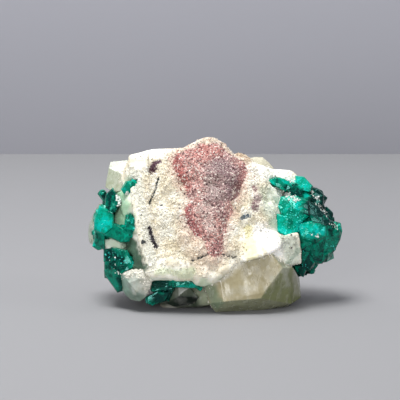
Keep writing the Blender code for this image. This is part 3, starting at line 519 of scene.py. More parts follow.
def mixed(tree, share, first, second, blend="MIX"):
    """The socket of one colour mixed into another."""
    made = node(tree, "ShaderNodeMix", data_type="RGBA", blend_type=blend)
    for index, value in ((0, share), (6, first), (7, second)):
        if isinstance(value, bpy.types.NodeSocket):
            tree.links.new(value, made.inputs[index])
        elif index:
            made.inputs[index].default_value = (*value[:3], 1.0)
        else:
            made.inputs[index].default_value = value
    return made.outputs[2]


def spread(tree, value, low, high, to_low=0.0, to_high=1.0):
    """The socket of a value moved from one range to another, and kept inside it."""
    inputs = {"Value": value, "From Min": low, "From Max": high, "To Min": to_low, "To Max": to_high}
    return node(tree, "ShaderNodeMapRange", inputs).outputs["Result"]


def new_group(name, inputs, outputs):
    """An empty shader group, its input node and its output node."""
    tree = bpy.data.node_groups.new(name, "ShaderNodeTree")
    for socket, kind, default in inputs:
        made = tree.interface.new_socket(socket, in_out="INPUT", socket_type=kind)
        if default is not None:
            made.default_value = default
    for socket in outputs:
        tree.interface.new_socket(socket, in_out="OUTPUT", socket_type="NodeSocketFloat")
    return tree, tree.nodes.new("NodeGroupInput"), tree.nodes.new("NodeGroupOutput")


def mottle_group():
    """Soft patches of two sizes, as a mask."""
    tree, given, result = new_group(
        "mineral mottle",
        [
            ("Place", "NodeSocketVector", None),
            ("Broad", "NodeSocketFloat", 300.0),
            ("Fine", "NodeSocketFloat", 1500.0),
        ],
        ["Mask"],
    )
    broad = clouds(tree, given.outputs["Place"], given.outputs["Broad"], 4.0)
    fine = clouds(tree, given.outputs["Place"], given.outputs["Fine"], 3.0)
    both = maths(tree, "ADD", broad, fine)
    tree.links.new(spread(tree, both, 0.75, 1.25), result.inputs["Mask"])
    return tree


def relief_group():
    """The height of a finely broken surface: chips of one size and dust of a smaller one."""
    tree, given, result = new_group(
        "broken surface",
        [
            ("Place", "NodeSocketVector", None),
            ("Chips", "NodeSocketFloat", 2500.0),
            ("Dust", "NodeSocketFloat", 9000.0),
        ],
        ["Height"],
    )
    place = given.outputs["Place"]
    chips = node(tree, "ShaderNodeTexVoronoi", {"Vector": place, "Scale": given.outputs["Chips"]})
    half_dust = maths(tree, "MULTIPLY", clouds(tree, place, given.outputs["Dust"], 2.0), 0.5)
    both = maths(tree, "SUBTRACT", half_dust, chips.outputs["Distance"])
    tree.links.new(both, result.inputs["Height"])
    return tree


def veil_group():
    """Milky clouds inside a crystal, drawn out along its cleavage, as a mask."""
    tree, given, result = new_group(
        "milky veils",
        [("Place", "NodeSocketVector", None), ("Scale", "NodeSocketFloat", 250.0)],
        ["Mask"],
    )
    leaning = node(
        tree, "ShaderNodeMapping",
        {"Vector": given.outputs["Place"], "Rotation": (0.2, 0.35, 0.1), "Scale": (1.3, 1.4, 0.5)},
    )
    inputs = {"Vector": leaning.outputs[0], "Scale": given.outputs["Scale"], "Detail": 6.0, "Roughness": 0.6}
    cloud = node(tree, "ShaderNodeTexNoise", inputs)
    tree.links.new(spread(tree, cloud.outputs["Fac"], 0.48, 0.72), result.inputs["Mask"])
    return tree


def steps_group():
    """Small flat steps that each lean their own way, as a height in metres, and a shade for each, which the
    dioptase paints as light reflected inside.
    """
    tree, given, result = new_group(
        "growth steps",
        [("Place", "NodeSocketVector", None), ("Scale", "NodeSocketFloat", 1200.0)],
        ["Height", "Shade"],
    )
    place = given.outputs["Place"]
    cells = node(tree, "ShaderNodeTexVoronoi", {"Vector": place, "Scale": given.outputs["Scale"]})
    away = vector_maths(tree, "SUBTRACT", place, cells.outputs["Position"])
    lean = vector_maths(tree, "SUBTRACT", cells.outputs["Color"], (0.5, 0.5, 0.5))
    height = vector_maths(tree, "DOT_PRODUCT", away, lean, "Value")
    parts = node(tree, "ShaderNodeSeparateColor", {"Color": cells.outputs["Color"]})
    tree.links.new(height, result.inputs["Height"])
    tree.links.new(parts.outputs["Red"], result.inputs["Shade"])
    return tree


def shared_group(name, build):
    """The shader group of this name, built the first time that it is asked for."""
    return bpy.data.node_groups.get(name) or build()


def grouped(tree, group, inputs):
    """A shader group placed in a material with its own values."""
    made = tree.nodes.new("ShaderNodeGroup")
    made.node_tree = group
    for name, value in inputs.items():
        if isinstance(value, bpy.types.NodeSocket):
            tree.links.new(value, made.inputs[name])
        else:
            made.inputs[name].default_value = value
    return made


def new_material(name):
    """A material, its tree, its Principled shader and its output."""
    material = bpy.data.materials.new(name)
    material.use_nodes = True
    tree = material.node_tree
    return material, tree, tree.nodes["Principled BSDF"], tree.nodes["Material Output"]


def world_place(tree):
    """The socket of the place on the object, which is its place in the world."""
    return tree.nodes.new("ShaderNodeTexCoord").outputs["Object"]


def bumped(tree, shader, height, strength, distance):
    """Gives the shader a relief."""
    inputs = {"Height": height, "Strength": strength, "Distance": distance}
    relief = node(tree, "ShaderNodeBump", inputs)
    tree.links.new(relief.outputs["Normal"], shader.inputs["Normal"])


def mottled(tree, place, broad, fine):
    """The mask of the soft patches at these two scales."""
    inputs = {"Place": place, "Broad": broad, "Fine": fine}
    return grouped(tree, shared_group("mineral mottle", mottle_group), inputs).outputs["Mask"]


def broken_height(tree, place, chips, dust):
    """The height of the finely broken surface at these two scales."""
    inputs = {"Place": place, "Chips": chips, "Dust": dust}
    return grouped(tree, shared_group("broken surface", relief_group), inputs).outputs["Height"]


def calcite_material(colours):
    """White calcite: sandy where it crumbles, and smooth like porcelain where it doesn't."""
    material, tree, shader, _ = new_material("white calcite")
    place = world_place(tree)
    tint = attribute(tree, "tint", "Color")
    crumbly = attribute(tree, "crumbly", "Fac")
    pits = spread(tree, mottled(tree, place, 900.0, 3600.0), 0.0, 1.0, 0.45, 0.0)
    sandy = mixed(tree, 1.0, tint, tuple(0.2 + 0.8 * value for value in colours.calcite_sand), "MULTIPLY")
    whole = mixed(tree, maths(tree, "MULTIPLY", pits, crumbly), tint, sandy)
    tree.links.new(whole, shader.inputs["Base Color"])
    tree.links.new(spread(tree, crumbly, 0.0, 1.0, 0.38, 0.85), shader.inputs["Roughness"])
    relief = broken_height(tree, place, 2600.0, 9000.0)
    height = maths(tree, "MULTIPLY", relief, spread(tree, crumbly, 0.0, 1.0, 0.15, 1.0))
    bumped(tree, shader, height, 0.45, 0.16 * MM)
    shader.inputs["Subsurface Weight"].default_value = 0.35
    shader.inputs["Subsurface Radius"].default_value = (1.0, 0.9, 0.7)
    shader.inputs["Subsurface Scale"].default_value = 1.1 * MM
    shader.inputs["Specular IOR Level"].default_value = 0.4
    return material


def grain_material(name, roughness):
    """Grains that each have their own colour, with small bright faces."""
    material, tree, shader, _ = new_material(name)
    place = world_place(tree)
    own = attribute(tree, "tint", "Color")
    mottle = mottled(tree, place, 1500.0, 6000.0)
    darker = mixed(tree, 1.0, own, (0.72, 0.7, 0.68), "MULTIPLY")
    tree.links.new(mixed(tree, mottle, darker, own), shader.inputs["Base Color"])
    tree.links.new(spread(tree, mottle, 0.0, 1.0, roughness, roughness + 0.25), shader.inputs["Roughness"])
    bumped(tree, shader, broken_height(tree, place, 5000.0, 14000.0), 0.35, 0.05 * MM)
    return material


def clear_calcite_material(name, inside_colour, density, clarity, roughness):
    """Cloudy calcite that light passes through."""
    material, tree, shader, output = new_material(name)
    place = world_place(tree)
    veiling = grouped(tree, shared_group("milky veils", veil_group), {"Place": place, "Scale": 520.0})
    veils = veiling.outputs["Mask"]
    mottle = mottled(tree, place, 300.0, 1800.0)
    steps = grouped(tree, shared_group("growth steps", steps_group), {"Place": place, "Scale": 420.0})
    tint = attribute(tree, "tint", "Color")
    darker = mixed(tree, 1.0, tint, (0.74, 0.72, 0.64), "MULTIPLY")
    cloudy = mixed(tree, mottle, darker, tint)
    veiled = mixed(tree, spread(tree, veils, 0.0, 1.0, 0.0, 0.26), cloudy, (0.8, 0.79, 0.72))
    tree.links.new(veiled, shader.inputs["Base Color"])
    tree.links.new(spread(tree, veils, 0.0, 1.0, roughness, roughness + 0.3), shader.inputs["Roughness"])
    bumped(tree, shader, steps.outputs["Height"], 0.2, 0.22)
    shader.inputs["Transmission Weight"].default_value = clarity
    shader.inputs["IOR"].default_value = 1.6
    inside = node(tree, "ShaderNodeVolumeAbsorption", {"Color": (*inside_colour, 1.0), "Density": density})
    tree.links.new(inside.outputs["Volume"], output.inputs["Volume"])
    return material


def dioptase_material(name, colours, density, clarity):
    """Glassy green crystals, broken up inside by small steps that each catch the light in their own way."""
    material, tree, shader, output = new_material(name)
    own = attribute(tree, "own_place", "Vector")
    mottle = mottled(tree, world_place(tree), 700.0, 3000.0)
    drawn_out = node(tree, "ShaderNodeMapping", {"Vector": own, "Scale": (1.0, 1.0, 0.5)}).outputs[0]
    steps = grouped(tree, shared_group("growth steps", steps_group), {"Place": drawn_out, "Scale": 1400.0})
    # Painted reflections inside the crystals: each step's own shade makes the colour lighter or darker.
    broken = spread(tree, steps.outputs["Shade"], 0.0, 1.0, -0.16, 0.16)
    cloudy = spread(tree, mottle, 0.0, 1.0, -0.17, 0.17)
    # The tone holds painted light and shade as well as the crystals' own depth of colour.
    total = attribute(tree, "tone", "Fac")
    for part in (broken, cloudy, attribute(tree, "face_tone", "Fac")):
        total = maths(tree, "ADD", total, part)
    dark_part = mixed(
        tree, spread(tree, total, 0.0, 0.5), tuple(colours.dioptase_deep), tuple(colours.dioptase_middle)
    )
    whole = mixed(tree, spread(tree, total, 0.5, 1.05), dark_part, tuple(colours.dioptase_light))
    tree.links.new(whole, shader.inputs["Base Color"])
    tree.links.new(spread(tree, mottle, 0.0, 1.0, 0.06, 0.2), shader.inputs["Roughness"])
    bumped(tree, shader, steps.outputs["Height"], 0.5, 0.5)
    shader.inputs["Transmission Weight"].default_value = clarity
    shader.inputs["IOR"].default_value = 1.66
    shader.inputs["Specular IOR Level"].default_value = 0.22
    shader.inputs["Specular Tint"].default_value = (0.35, 1.0, 0.92, 1.0)
    inside = node(
        tree, "ShaderNodeVolumeAbsorption", {"Color": (*colours.dioptase_middle, 1.0), "Density": density}
    )
    tree.links.new(inside.outputs["Volume"], output.inputs["Volume"])
    return material


# Meshes.


def new_piece(name, mesh, material, replaced=()):
    """An object of the specimen, riding with it in the place of its solid."""
    mesh.name = name
    mesh.materials.clear()
    mesh.materials.append(material)
    piece = bpy.data.objects.new(name, mesh)
    bpy.context.scene.collection.objects.link(piece)
    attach(piece, "root")
    for solid in replaced:
        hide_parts(solid)
    return piece


def paint_colours(mesh, name, colours):
    """Gives each vertex a colour that the materials read."""
    layer = mesh.color_attributes.new(name, "FLOAT_COLOR", "POINT")
    rows = np.ones((len(mesh.vertices), 4), np.float32)
    rows[:, :3] = colours
    layer.data.foreach_set("color", rows.ravel())


def paint_values(mesh, name, values):
    """Gives each vertex a number that the materials read."""
    layer = mesh.attributes.new(name, "FLOAT", "POINT")
    layer.data.foreach_set("value", np.asarray(values, np.float32))


def points_of(mesh):
    """The vertices and their normals, in two arrays."""
    points = np.empty(len(mesh.vertices) * 3, np.float32)
    normals = np.empty(len(mesh.vertices) * 3, np.float32)
    mesh.vertices.foreach_get("co", points)
    mesh.vertices.foreach_get("normal", normals)
    return points.reshape(-1, 3).astype(float), normals.reshape(-1, 3).astype(float)


def welded_copy(solid):
    """A copy of a solid's mesh with its faces joined again."""
    edited = bmesh.new()
    edited.from_mesh(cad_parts[solid].data)
    bmesh.ops.remove_doubles(edited, verts=edited.verts, dist=0.002 * MM)
    mesh = bpy.data.meshes.new(solid + " copy")
    edited.to_mesh(mesh)
    edited.free()
    return mesh


def joined_mesh(names):
    """The meshes of these objects in one."""
    edited = bmesh.new()
    for name in names:
        edited.from_mesh(bpy.data.objects[name].data)
    mesh = bpy.data.meshes.new("joined")
    edited.to_mesh(mesh)
    edited.free()
    return mesh


def fine_skin(solid, cell):
    """A solid's surface in even small faces."""
    made = bpy.data.objects.new("skin", welded_copy(solid))
    bpy.context.scene.collection.objects.link(made)
    remesh = made.modifiers.new("even skin", "REMESH")
    remesh.mode = "VOXEL"
    remesh.voxel_size = cell
    graph = bpy.context.evaluated_depsgraph_get()
    mesh = bpy.data.meshes.new_from_object(made.evaluated_get(graph))
    bpy.data.objects.remove(made)
    return mesh


def noise_at(points, size, shift=0.0):
    """Smooth noise at each point, its lumps of this size in millimetres."""
    scaled = points / (size * MM) + shift
    return np.array([noise.noise(Vector(row)) for row in scaled])


def grains_at(points, size, shift=0.0):
    """How far each point is from the middle of its grain, for grains of this size in millimetres."""
    scaled = points / (size * MM) + shift
    return np.array([noise.voronoi(Vector(row))[0][0] for row in scaled])


def step(values, low, high):
    """0 below low, 1 above high, and smooth between."""
    share = np.clip((values - low) / (high - low), 0.0, 1.0)
    return share * share * (3 - 2 * share)


def distance_to_line(places, line):
    """How far each place is, across the view, from a line of places, in millimetres."""
    flat = places[:, :2]
    nearest = np.full(len(flat), np.inf)
    for start, end in zip(line, line[1:]):
        start = np.array(start, float)
        along = np.array(end, float) - start
        share = np.clip((flat - start) @ along / (along @ along), 0, 1)
        nearest = np.minimum(nearest, np.linalg.norm(flat - start - share[:, None] * along, axis=1))
    return nearest


def depth_in_outline(places, outline):
    """How far inside an outline each place is, in millimetres. Outside it is below 0."""
    flat = places[:, :2]
    inside = np.zeros(len(flat), bool)
    for (x1, y1), (x2, y2) in zip(outline, outline[1:] + outline[:1]):
        spans = (y1 > flat[:, 1]) != (y2 > flat[:, 1])
        crossing = x1 + (flat[:, 1] - y1) * (x2 - x1) / ((y2 - y1) or 1e-9)
        inside ^= spans & (flat[:, 0] < crossing)
    rim = distance_to_line(places, outline + outline[:1])
    return np.where(inside, rim, -rim)


def distance_to_solids(points, solids, farthest):
    """How far each point is from the nearest of these solids, in millimetres, and at most the farthest."""
    nearest = np.full(len(points), float(farthest))
    for solid in solids:
        edited = bmesh.new()
        edited.from_mesh(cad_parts[solid].data)
        tree = BVHTree.FromBMesh(edited)
        edited.free()
        for index, point in enumerate(points):
            found = tree.find_nearest(Vector(point), nearest[index] * MM)
            if found[3] is not None:
                nearest[index] = found[3] / MM
    return nearest


def on_the_front(places):
    """1 for places on the front of the calcite, and 0 for those further back that the front hides."""
    return step(places[:, 2], -4.5, -2.5)


def crumbliness(places, facing):
    """From 0, smooth, to 1, sandy, for places on the calcite whose surface faces the viewer this much."""
    sandy_middle = depth_in_outline(places, SANDY_OUTLINE)
    crumbly = step(sandy_middle, -1.6, 1.2) * on_the_front(places)
    for patch in SMOOTHER:
        away = distance_to_line(places, patch.line)
        crumbly += (patch.tone - crumbly) * (1 - step(away, 0.5 * patch.reach, patch.reach))
    return 0.12 + 0.88 * crumbly * step(facing, -0.2, 0.3)


def calcite_colours(points, places, facing, colours):
    """The colour of the calcite at each point."""
    broad = noise_at(points, 2.6, 3.0)
    middle = noise_at(points, 0.95, 7.0)
    white = np.array(colours.calcite_white)
    cream = np.array(colours.calcite_cream)
    share = step(broad * 0.8 + middle * 0.5, -0.35, 0.45)[:, None]
    made = cream + (white - cream) * share
    in_front = step(facing, -0.35, 0.15) * on_the_front(places)
    by_dioptase = distance_to_solids(points, DIOPTASE_CLUSTERS, 2.5)
    weight = 0.35 * (1 - step(by_dioptase + 0.8 * middle, 0.2, 1.4))
    made = made + (np.array(colours.calcite_green) - made) * weight[:, None]
    by_crust = -depth_in_outline(places, CRUST_OUTLINE)
    weight = 0.6 * (1 - step(by_crust + 0.8 * middle + 0.5 * broad, -0.5, 2.2)) * in_front
    made = made + (np.array(colours.calcite_blush) - made) * weight[:, None]
    for patch in CALCITE_PATCHES:
        away = distance_to_line(places, patch.line) + 0.5 * middle + 0.35 * broad
        weight = (1 - step(away, patch.reach * 0.45, patch.reach)) * patch.strength * in_front
        made = made + (np.array(linear(*patch.colour)) - made) * weight[:, None]
    fine = noise_at(points, 0.42, 1.0)
    # The cracks' dark colour: dark mineral, and along the rim partly painted shade.
    for patch in DARK_SEAMS_AND_PAINTED_SHADE:
        away = distance_to_line(places, patch.line) + 0.3 * patch.reach * fine
        broken = step(fine + 0.6 * middle, -0.7, -0.2)
        weight = (1 - step(away, patch.reach * 0.3, patch.reach * 1.1)) * broken * patch.strength * in_front
        made = made + (np.array(linear(*patch.colour)) - made) * weight[:, None]
    lines = np.abs(noise_at(points * np.array((1.0, 1.0, 0.35)), 1.3, 4.0))
    greyer = 1 - 0.14 * (1 - step(lines, 0.0, 0.06)) - 0.07 * step(-broad + fine, -0.2, 0.6)
    return made * greyer[:, None]


def surface_points(mesh, weight_of, count, drawn):
    """Points and normals spread over a mesh, as dense in each place as its weight says."""
    mesh.calc_loop_triangles()
    corners = np.empty(len(mesh.loop_triangles) * 3, np.int32)
    mesh.loop_triangles.foreach_get("vertices", corners)
    points, _ = points_of(mesh)
    triangles = points[corners.reshape(-1, 3)]
    across = np.cross(triangles[:, 1] - triangles[:, 0], triangles[:, 2] - triangles[:, 0])
    areas = np.linalg.norm(across, axis=1)
    normals = across / np.maximum(areas, 1e-15)[:, None]
    weights = areas * weight_of(triangles.mean(axis=1), normals)
    chosen = drawn.choice(len(weights), count, p=weights / weights.sum())
    first, second = drawn.random((2, count, 1))
    over = (first + second) > 1
    first = np.where(over, 1 - first, first)
    second = np.where(over, 1 - second, second)
    start, one, two = (triangles[chosen][:, index] for index in range(3))
    return start + (one - start) * first + (two - start) * second, normals[chosen]


# The corners and faces of the small shapes that the grains have.

RHOMB = (
    [(-0.5, -0.5, -0.5), (0.5, -0.45, -0.5), (0.6, 0.5, -0.45), (-0.4, 0.5, -0.5),
     (-0.6, -0.5, 0.45), (0.4, -0.5, 0.5), (0.5, 0.45, 0.5), (-0.5, 0.5, 0.5)],
    [(0, 3, 2, 1), (4, 5, 6, 7), (0, 1, 5, 4), (1, 2, 6, 5), (2, 3, 7, 6), (3, 0, 4, 7)],
)
POINTED = (
    [(0.55, 0, 0), (0, 0.5, 0), (-0.5, 0, 0), (0, -0.55, 0), (0.05, 0, 0.65), (0, 0.05, -0.6)],
    [(0, 1, 4), (1, 2, 4), (2, 3, 4), (3, 0, 4), (1, 0, 5), (2, 1, 5), (3, 2, 5), (0, 3, 5)],
)


def grain_mesh(points, sizes, colours, shape, drawn):
    """One mesh of copies of a small shape at these points, each turned its own way and in its own colour."""
    corners = np.array(shape[0], float)
    turns = drawn.normal(size=(len(points), 4))
    turns /= np.linalg.norm(turns, axis=1)[:, None]
    w, x, y, z = turns.T
    rows = np.array([
        [1 - 2 * (y * y + z * z), 2 * (x * y - z * w), 2 * (x * z + y * w)],
        [2 * (x * y + z * w), 1 - 2 * (x * x + z * z), 2 * (y * z - x * w)],
        [2 * (x * z - y * w), 2 * (y * z + x * w), 1 - 2 * (x * x + y * y)],
    ])
    stretch = drawn.uniform(0.7, 1.3, (len(points), 1, 3))
    own = corners[None] * stretch * sizes[:, None, None]
    placed = np.einsum("abn,ncb->nca", rows, own) + points[:, None, :]
    placed[:, :, 2] = np.maximum(placed[:, :, 2], 0.0)
    count = len(corners)
    faces = [
        tuple(corner + grain * count for corner in face) for grain in range(len(points)) for face in shape[1]
    ]
    mesh = bpy.data.meshes.new("grains")
    mesh.from_pydata(placed.reshape(-1, 3).tolist(), [], faces)
    paint_colours(mesh, "tint", np.repeat(colours, count, axis=0))
    return mesh


def axes_along(direction, spin):
    """Two directions square to this one and to each other, turned about it by spin."""
    side = direction.cross(Vector((0.37, -0.61, 0.7))).normalized()
    other = direction.cross(side)
    across = side * math.cos(spin) + other * math.sin(spin)
    return across, direction.cross(across)


def dioptase_corners(crystal, drawn):
    """A six-sided prism with three sloping faces on each end, and the three directions that it stands in.

    No two sides are as far from its middle, as its neighbours left it more room on some than on others.
    """
    direction = heading(*crystal.towards)
    across, other = axes_along(direction, crystal.at[0] + crystal.at[1])
    radius = crystal.radius * MM
    half = crystal.length * MM / 2
    widths = [radius * drawn.uniform(0.8, 1.1) for _ in range(6)]
    corners = []
    for end in (1, -1):
        corners.append(seen(*crystal.at) + direction * end * half)
        for turn, width in enumerate(widths):
            angle = turn * math.pi / 3
            low = (turn % 2 == 0) == (end == 1)
            drop = 0.62 * radius * (1.0 if low else 0.5) * drawn.uniform(0.7, 1.25)
            along = max(half - drop, 0.1 * half)
            ring = across * math.cos(angle) + other * math.sin(angle)
            corners.append(seen(*crystal.at) + ring * width + direction * end * along)
    return corners, (across, other, direction)


def plate_corners(plate):
    """The corners of a flat crystal that reaches a little under its neighbours, and its middle."""
    middle = [sum(corner[axis] for corner in plate.front) / len(plate.front) for axis in range(3)]
    corners = []
    for right, up, near in plate.front:
        for wide, further_back in ((1.0, 0.0), (1.14, 0.5), (0.9, plate.depth)):
            corners.append((
                middle[0] + wide * (right - middle[0]),
                middle[1] + wide * (up - middle[1]),
                near - further_back,
            ))
    return [seen(*corner) for corner in corners], seen(*middle)


# The buds on each large crystal of a cluster: how many, their least and greatest radius, and their seed.

BUDS_EACH = 3
BUD_RADII = (0.35, 0.7)
BUD_SEED = 7


def buds(crystals):
    """Small crystals that grow out of the outer sides of these large ones."""
    drawn = random.Random(BUD_SEED)
    middle = [sum(c.at[axis] for c in crystals) / len(crystals) for axis in range(3)]
    grown = []
    for crystal in crystals:
        outward = Vector([crystal.at[axis] - middle[axis] for axis in range(3)])
        outward = (outward + Vector((0, 0, 1.5))).normalized()
        for _ in range(BUDS_EACH):
            wander = Vector([drawn.uniform(-1, 1) for _ in range(3)])
            way = (outward + wander * 1.1).normalized()
            place = Vector(crystal.at) + way * crystal.radius * drawn.uniform(0.75, 0.95)
            radius = drawn.uniform(*BUD_RADII)
            grown.append(Crystal(tuple(place), tuple(way + wander * 0.4), radius, radius * 2.4))
    return grown


def faceted(corners, edge):
    """The convex body round these corners, with its edges worn by this much."""
    made = bmesh.new()
    for corner in corners:
        made.verts.new(corner)
    found = bmesh.ops.convex_hull(made, input=made.verts)
    unused = set(found["geom_interior"]) | set(found["geom_unused"])
    loose = [item for item in unused if isinstance(item, bmesh.types.BMVert)]
    bmesh.ops.delete(made, geom=loose, context="VERTS")
    bmesh.ops.dissolve_limit(made, angle_limit=math.radians(1.5), verts=made.verts, edges=made.edges)
    bmesh.ops.recalc_face_normals(made, faces=made.faces)
    bmesh.ops.bevel(made, geom=list(made.edges), offset=edge, segments=1, affect="EDGES", clamp_overlap=True)
    bmesh.ops.triangulate(made, faces=made.faces)
    return made


def cut_to(made, longest):
    """Divides the long edges of a body, so that its colour can change across a face."""
    for _ in range(4):
        long = [edge for edge in made.edges if edge.calc_length() > longest]
        bmesh.ops.subdivide_edges(made, edges=long, cuts=1, use_grid_fill=True)
    bmesh.ops.triangulate(made, faces=made.faces)


# The operators. Each makes one piece, or one group of like pieces.


class SPECIMEN_OT_calcite(bpy.types.Operator):
    """Puts a fine broken skin in the place of the calcite block"""

    bl_idname = "specimen.calcite"
    bl_label = "Calcite block"

    def execute(self, context):
        sizes = context.scene.specimen_sizes
        mesh = fine_skin("calcite_matrix", sizes.skin_cell)
        points, normals = points_of(mesh)
        facing = normals @ TOWARD_VIEWER
        places = places_of(points)
        crumbly = crumbliness(places, facing)
        rise = sizes.skin_grow + sizes.crumb_relief * crumbly * (
            (0.45 - grains_at(points, 1.25)) + 0.55 * (0.45 - grains_at(points, 0.62, 4.0))
            + 0.4 * noise_at(points, 0.5, 2.0)
        )
        behind = 1 - crumbly
        tilted = points @ np.array((0.55, 0.62, 0.56)) / MM + 0.5 * noise_at(points, 3.0, 9.0)
        ledge = tilted / 1.7 - np.floor(tilted / 1.7)
        rise += sizes.ledge_height * behind * (0.5 - ledge) * step(-facing, 0.0, 0.5)
        rise += 0.05 * MM * behind * noise_at(points, 0.9, 5.0)
        by_crystal = distance_to_solids(points, CALCITE_CRYSTALS, 1.0)
        rise += 0.08 * MM * (1 - step(by_crystal, 0.3, 0.8)) * step(points[:, 2] / MM, 1.0, 3.0)
        for patch in DARK_SEAMS_AND_PAINTED_SHADE:
            away = distance_to_line(places, patch.line)
            groove = (1 - step(away, patch.reach * 0.6, patch.reach * 1.8)) * on_the_front(places)
            rise -= 0.16 * MM * groove * step(facing, -0.1, 0.3)
        moved = points + normals * rise[:, None]
        moved[:, 2] = np.where(points[:, 2] < 0.2 * MM, 0.0, np.maximum(moved[:, 2], 0.0))
        mesh.vertices.foreach_set("co", moved.ravel().astype(np.float32))
        paint_colours(mesh, "tint", calcite_colours(points, places, facing, context.scene.specimen_colours))
        paint_values(mesh, "crumbly", crumbly)
        mesh.update()
        material = calcite_material(context.scene.specimen_colours)
        new_piece("calcite_block_skin", mesh, material, ["calcite_matrix"])
        return {"FINISHED"}


class SPECIMEN_OT_druse(bpy.types.Operator):
    """Puts the grains of the red druse on its crust, thinning out over the calcite round it"""

    bl_idname = "specimen.druse"
    bl_label = "Red druse crust"

    SPECKLED = [(0.5, 30.6), (4.2, 28.6), (6.6, 26.0), (6.2, 22.5)]

    def execute(self, context):
        sizes = context.scene.specimen_sizes
        colours = context.scene.specimen_colours
        mesh = fine_skin("red_druse_crust", 0.75 * sizes.skin_cell)
        points, normals = points_of(mesh)
        depth = depth_in_outline(places_of(points), CRUST_OUTLINE)
        sideways = normals - (normals @ TOWARD_VIEWER)[:, None] * TOWARD_VIEWER
        sink = 0.52 * MM * (1 - step(depth, 0.0, 2.2))
        rise = 0.16 * MM * (0.45 - grains_at(points, 0.8, 1.0)) + 0.1 * MM * noise_at(points, 1.8, 6.0)
        moved = points + normals * rise[:, None] + sideways * 0.4 * MM - TOWARD_VIEWER * sink[:, None]
        mesh.vertices.foreach_set("co", moved.ravel().astype(np.float32))
        drawn = np.random.default_rng(GRAIN_SEED)
        paint_colours(mesh, "tint", self.grain_colours(moved, colours, drawn, 0.5))
        mesh.update()
        material = grain_material("red druse", 0.45)
        base = new_piece("red_druse_bed", mesh, material, ["red_druse_crust"])
        self.scatter(base.data, sizes, colours, material, drawn)
        return {"FINISHED"}

    def grain_colours(self, points, colours, drawn, liveliness):
        """Each grain's colour: pink or purple by patches, and some white or dark."""
        pink = np.array(colours.druse_pink)
        purple = np.array(colours.druse_purple)
        places = places_of(points)
        patchy = noise_at(points, 3.4, 12.0) + 0.5 * noise_at(points, 1.2, 3.0)
        greyest = distance_to_line(places, [(1, 26), (2.5, 22.5), (-0.5, 20.5)])
        share = step(0.5 * patchy + 0.55 - 0.24 * greyest, -0.4, 0.4)[:, None]
        made = pink + (purple - pink) * share
        made = made * np.exp(drawn.normal(0.0, 0.3 * liveliness, (len(points), 1)))
        picked = drawn.random(len(points))
        white_share = 0.16 + 0.12 * step(-patchy, 0.0, 0.5)
        dark_share = 0.1 + 0.12 * step(patchy, -0.1, 0.5)
        for patch in CRUST_PATCHES:
            away = distance_to_line(places, patch.line) + 0.6 * patchy
            weight = (1 - step(away, 0.4 * patch.reach, patch.reach)) * patch.strength
            made = made + (np.array(linear(*patch.colour)) - made) * weight[:, None]
        made = made * np.exp(drawn.normal(0.0, 0.2 * liveliness, (len(points), 1)))
        white = (picked < white_share * liveliness)[:, None]
        dark = (picked > 1 - dark_share * liveliness)[:, None]
        made = np.where(white, np.array(colours.druse_white), made)
        made = np.where(dark, np.array(colours.druse_dark) * drawn.uniform(0.5, 1.3, (len(points), 1)), made)
        return np.clip(made, 0.0, 1.0)

    def scatter(self, bed, sizes, colours, material, drawn):
        """The grains on the crust, and those that lie on the calcite round it."""

        def on_crust(middles, normals):
            return step(normals @ TOWARD_VIEWER, -0.1, 0.3)

        def round_crust(middles, normals):
            places = places_of(middles)
            depth = depth_in_outline(places, CRUST_OUTLINE)
            ragged = depth + 1.5 * noise_at(middles, 1.6, 8.0)
            upper_right = step(-distance_to_line(places, self.SPECKLED), -2.2, -0.4) * 0.12
            near = step(ragged, -1.8, 0.8) ** 2 + upper_right
            return near * step(normals @ TOWARD_VIEWER, 0.25, 0.5) * step(places[:, 2], -3.5, -2.0) + 1e-7

        inside, _ = surface_points(bed, on_crust, sizes.druse_count, drawn)
        skin = bpy.data.objects["calcite_block_skin"].data
        outside, _ = surface_points(skin, round_crust, sizes.druse_count // 4, drawn)
        points = np.concatenate([inside, outside])
        grain_sizes = sizes.druse_grain * np.exp(drawn.normal(0.0, 0.3, len(points)))
        tints = self.grain_colours(points, colours, drawn, 1.0)
        tints[len(inside) :] *= np.array((0.8, 0.86, 0.8))
        mesh = grain_mesh(points, grain_sizes, tints, POINTED, drawn)
        new_piece("red_druse_grains", mesh, material)


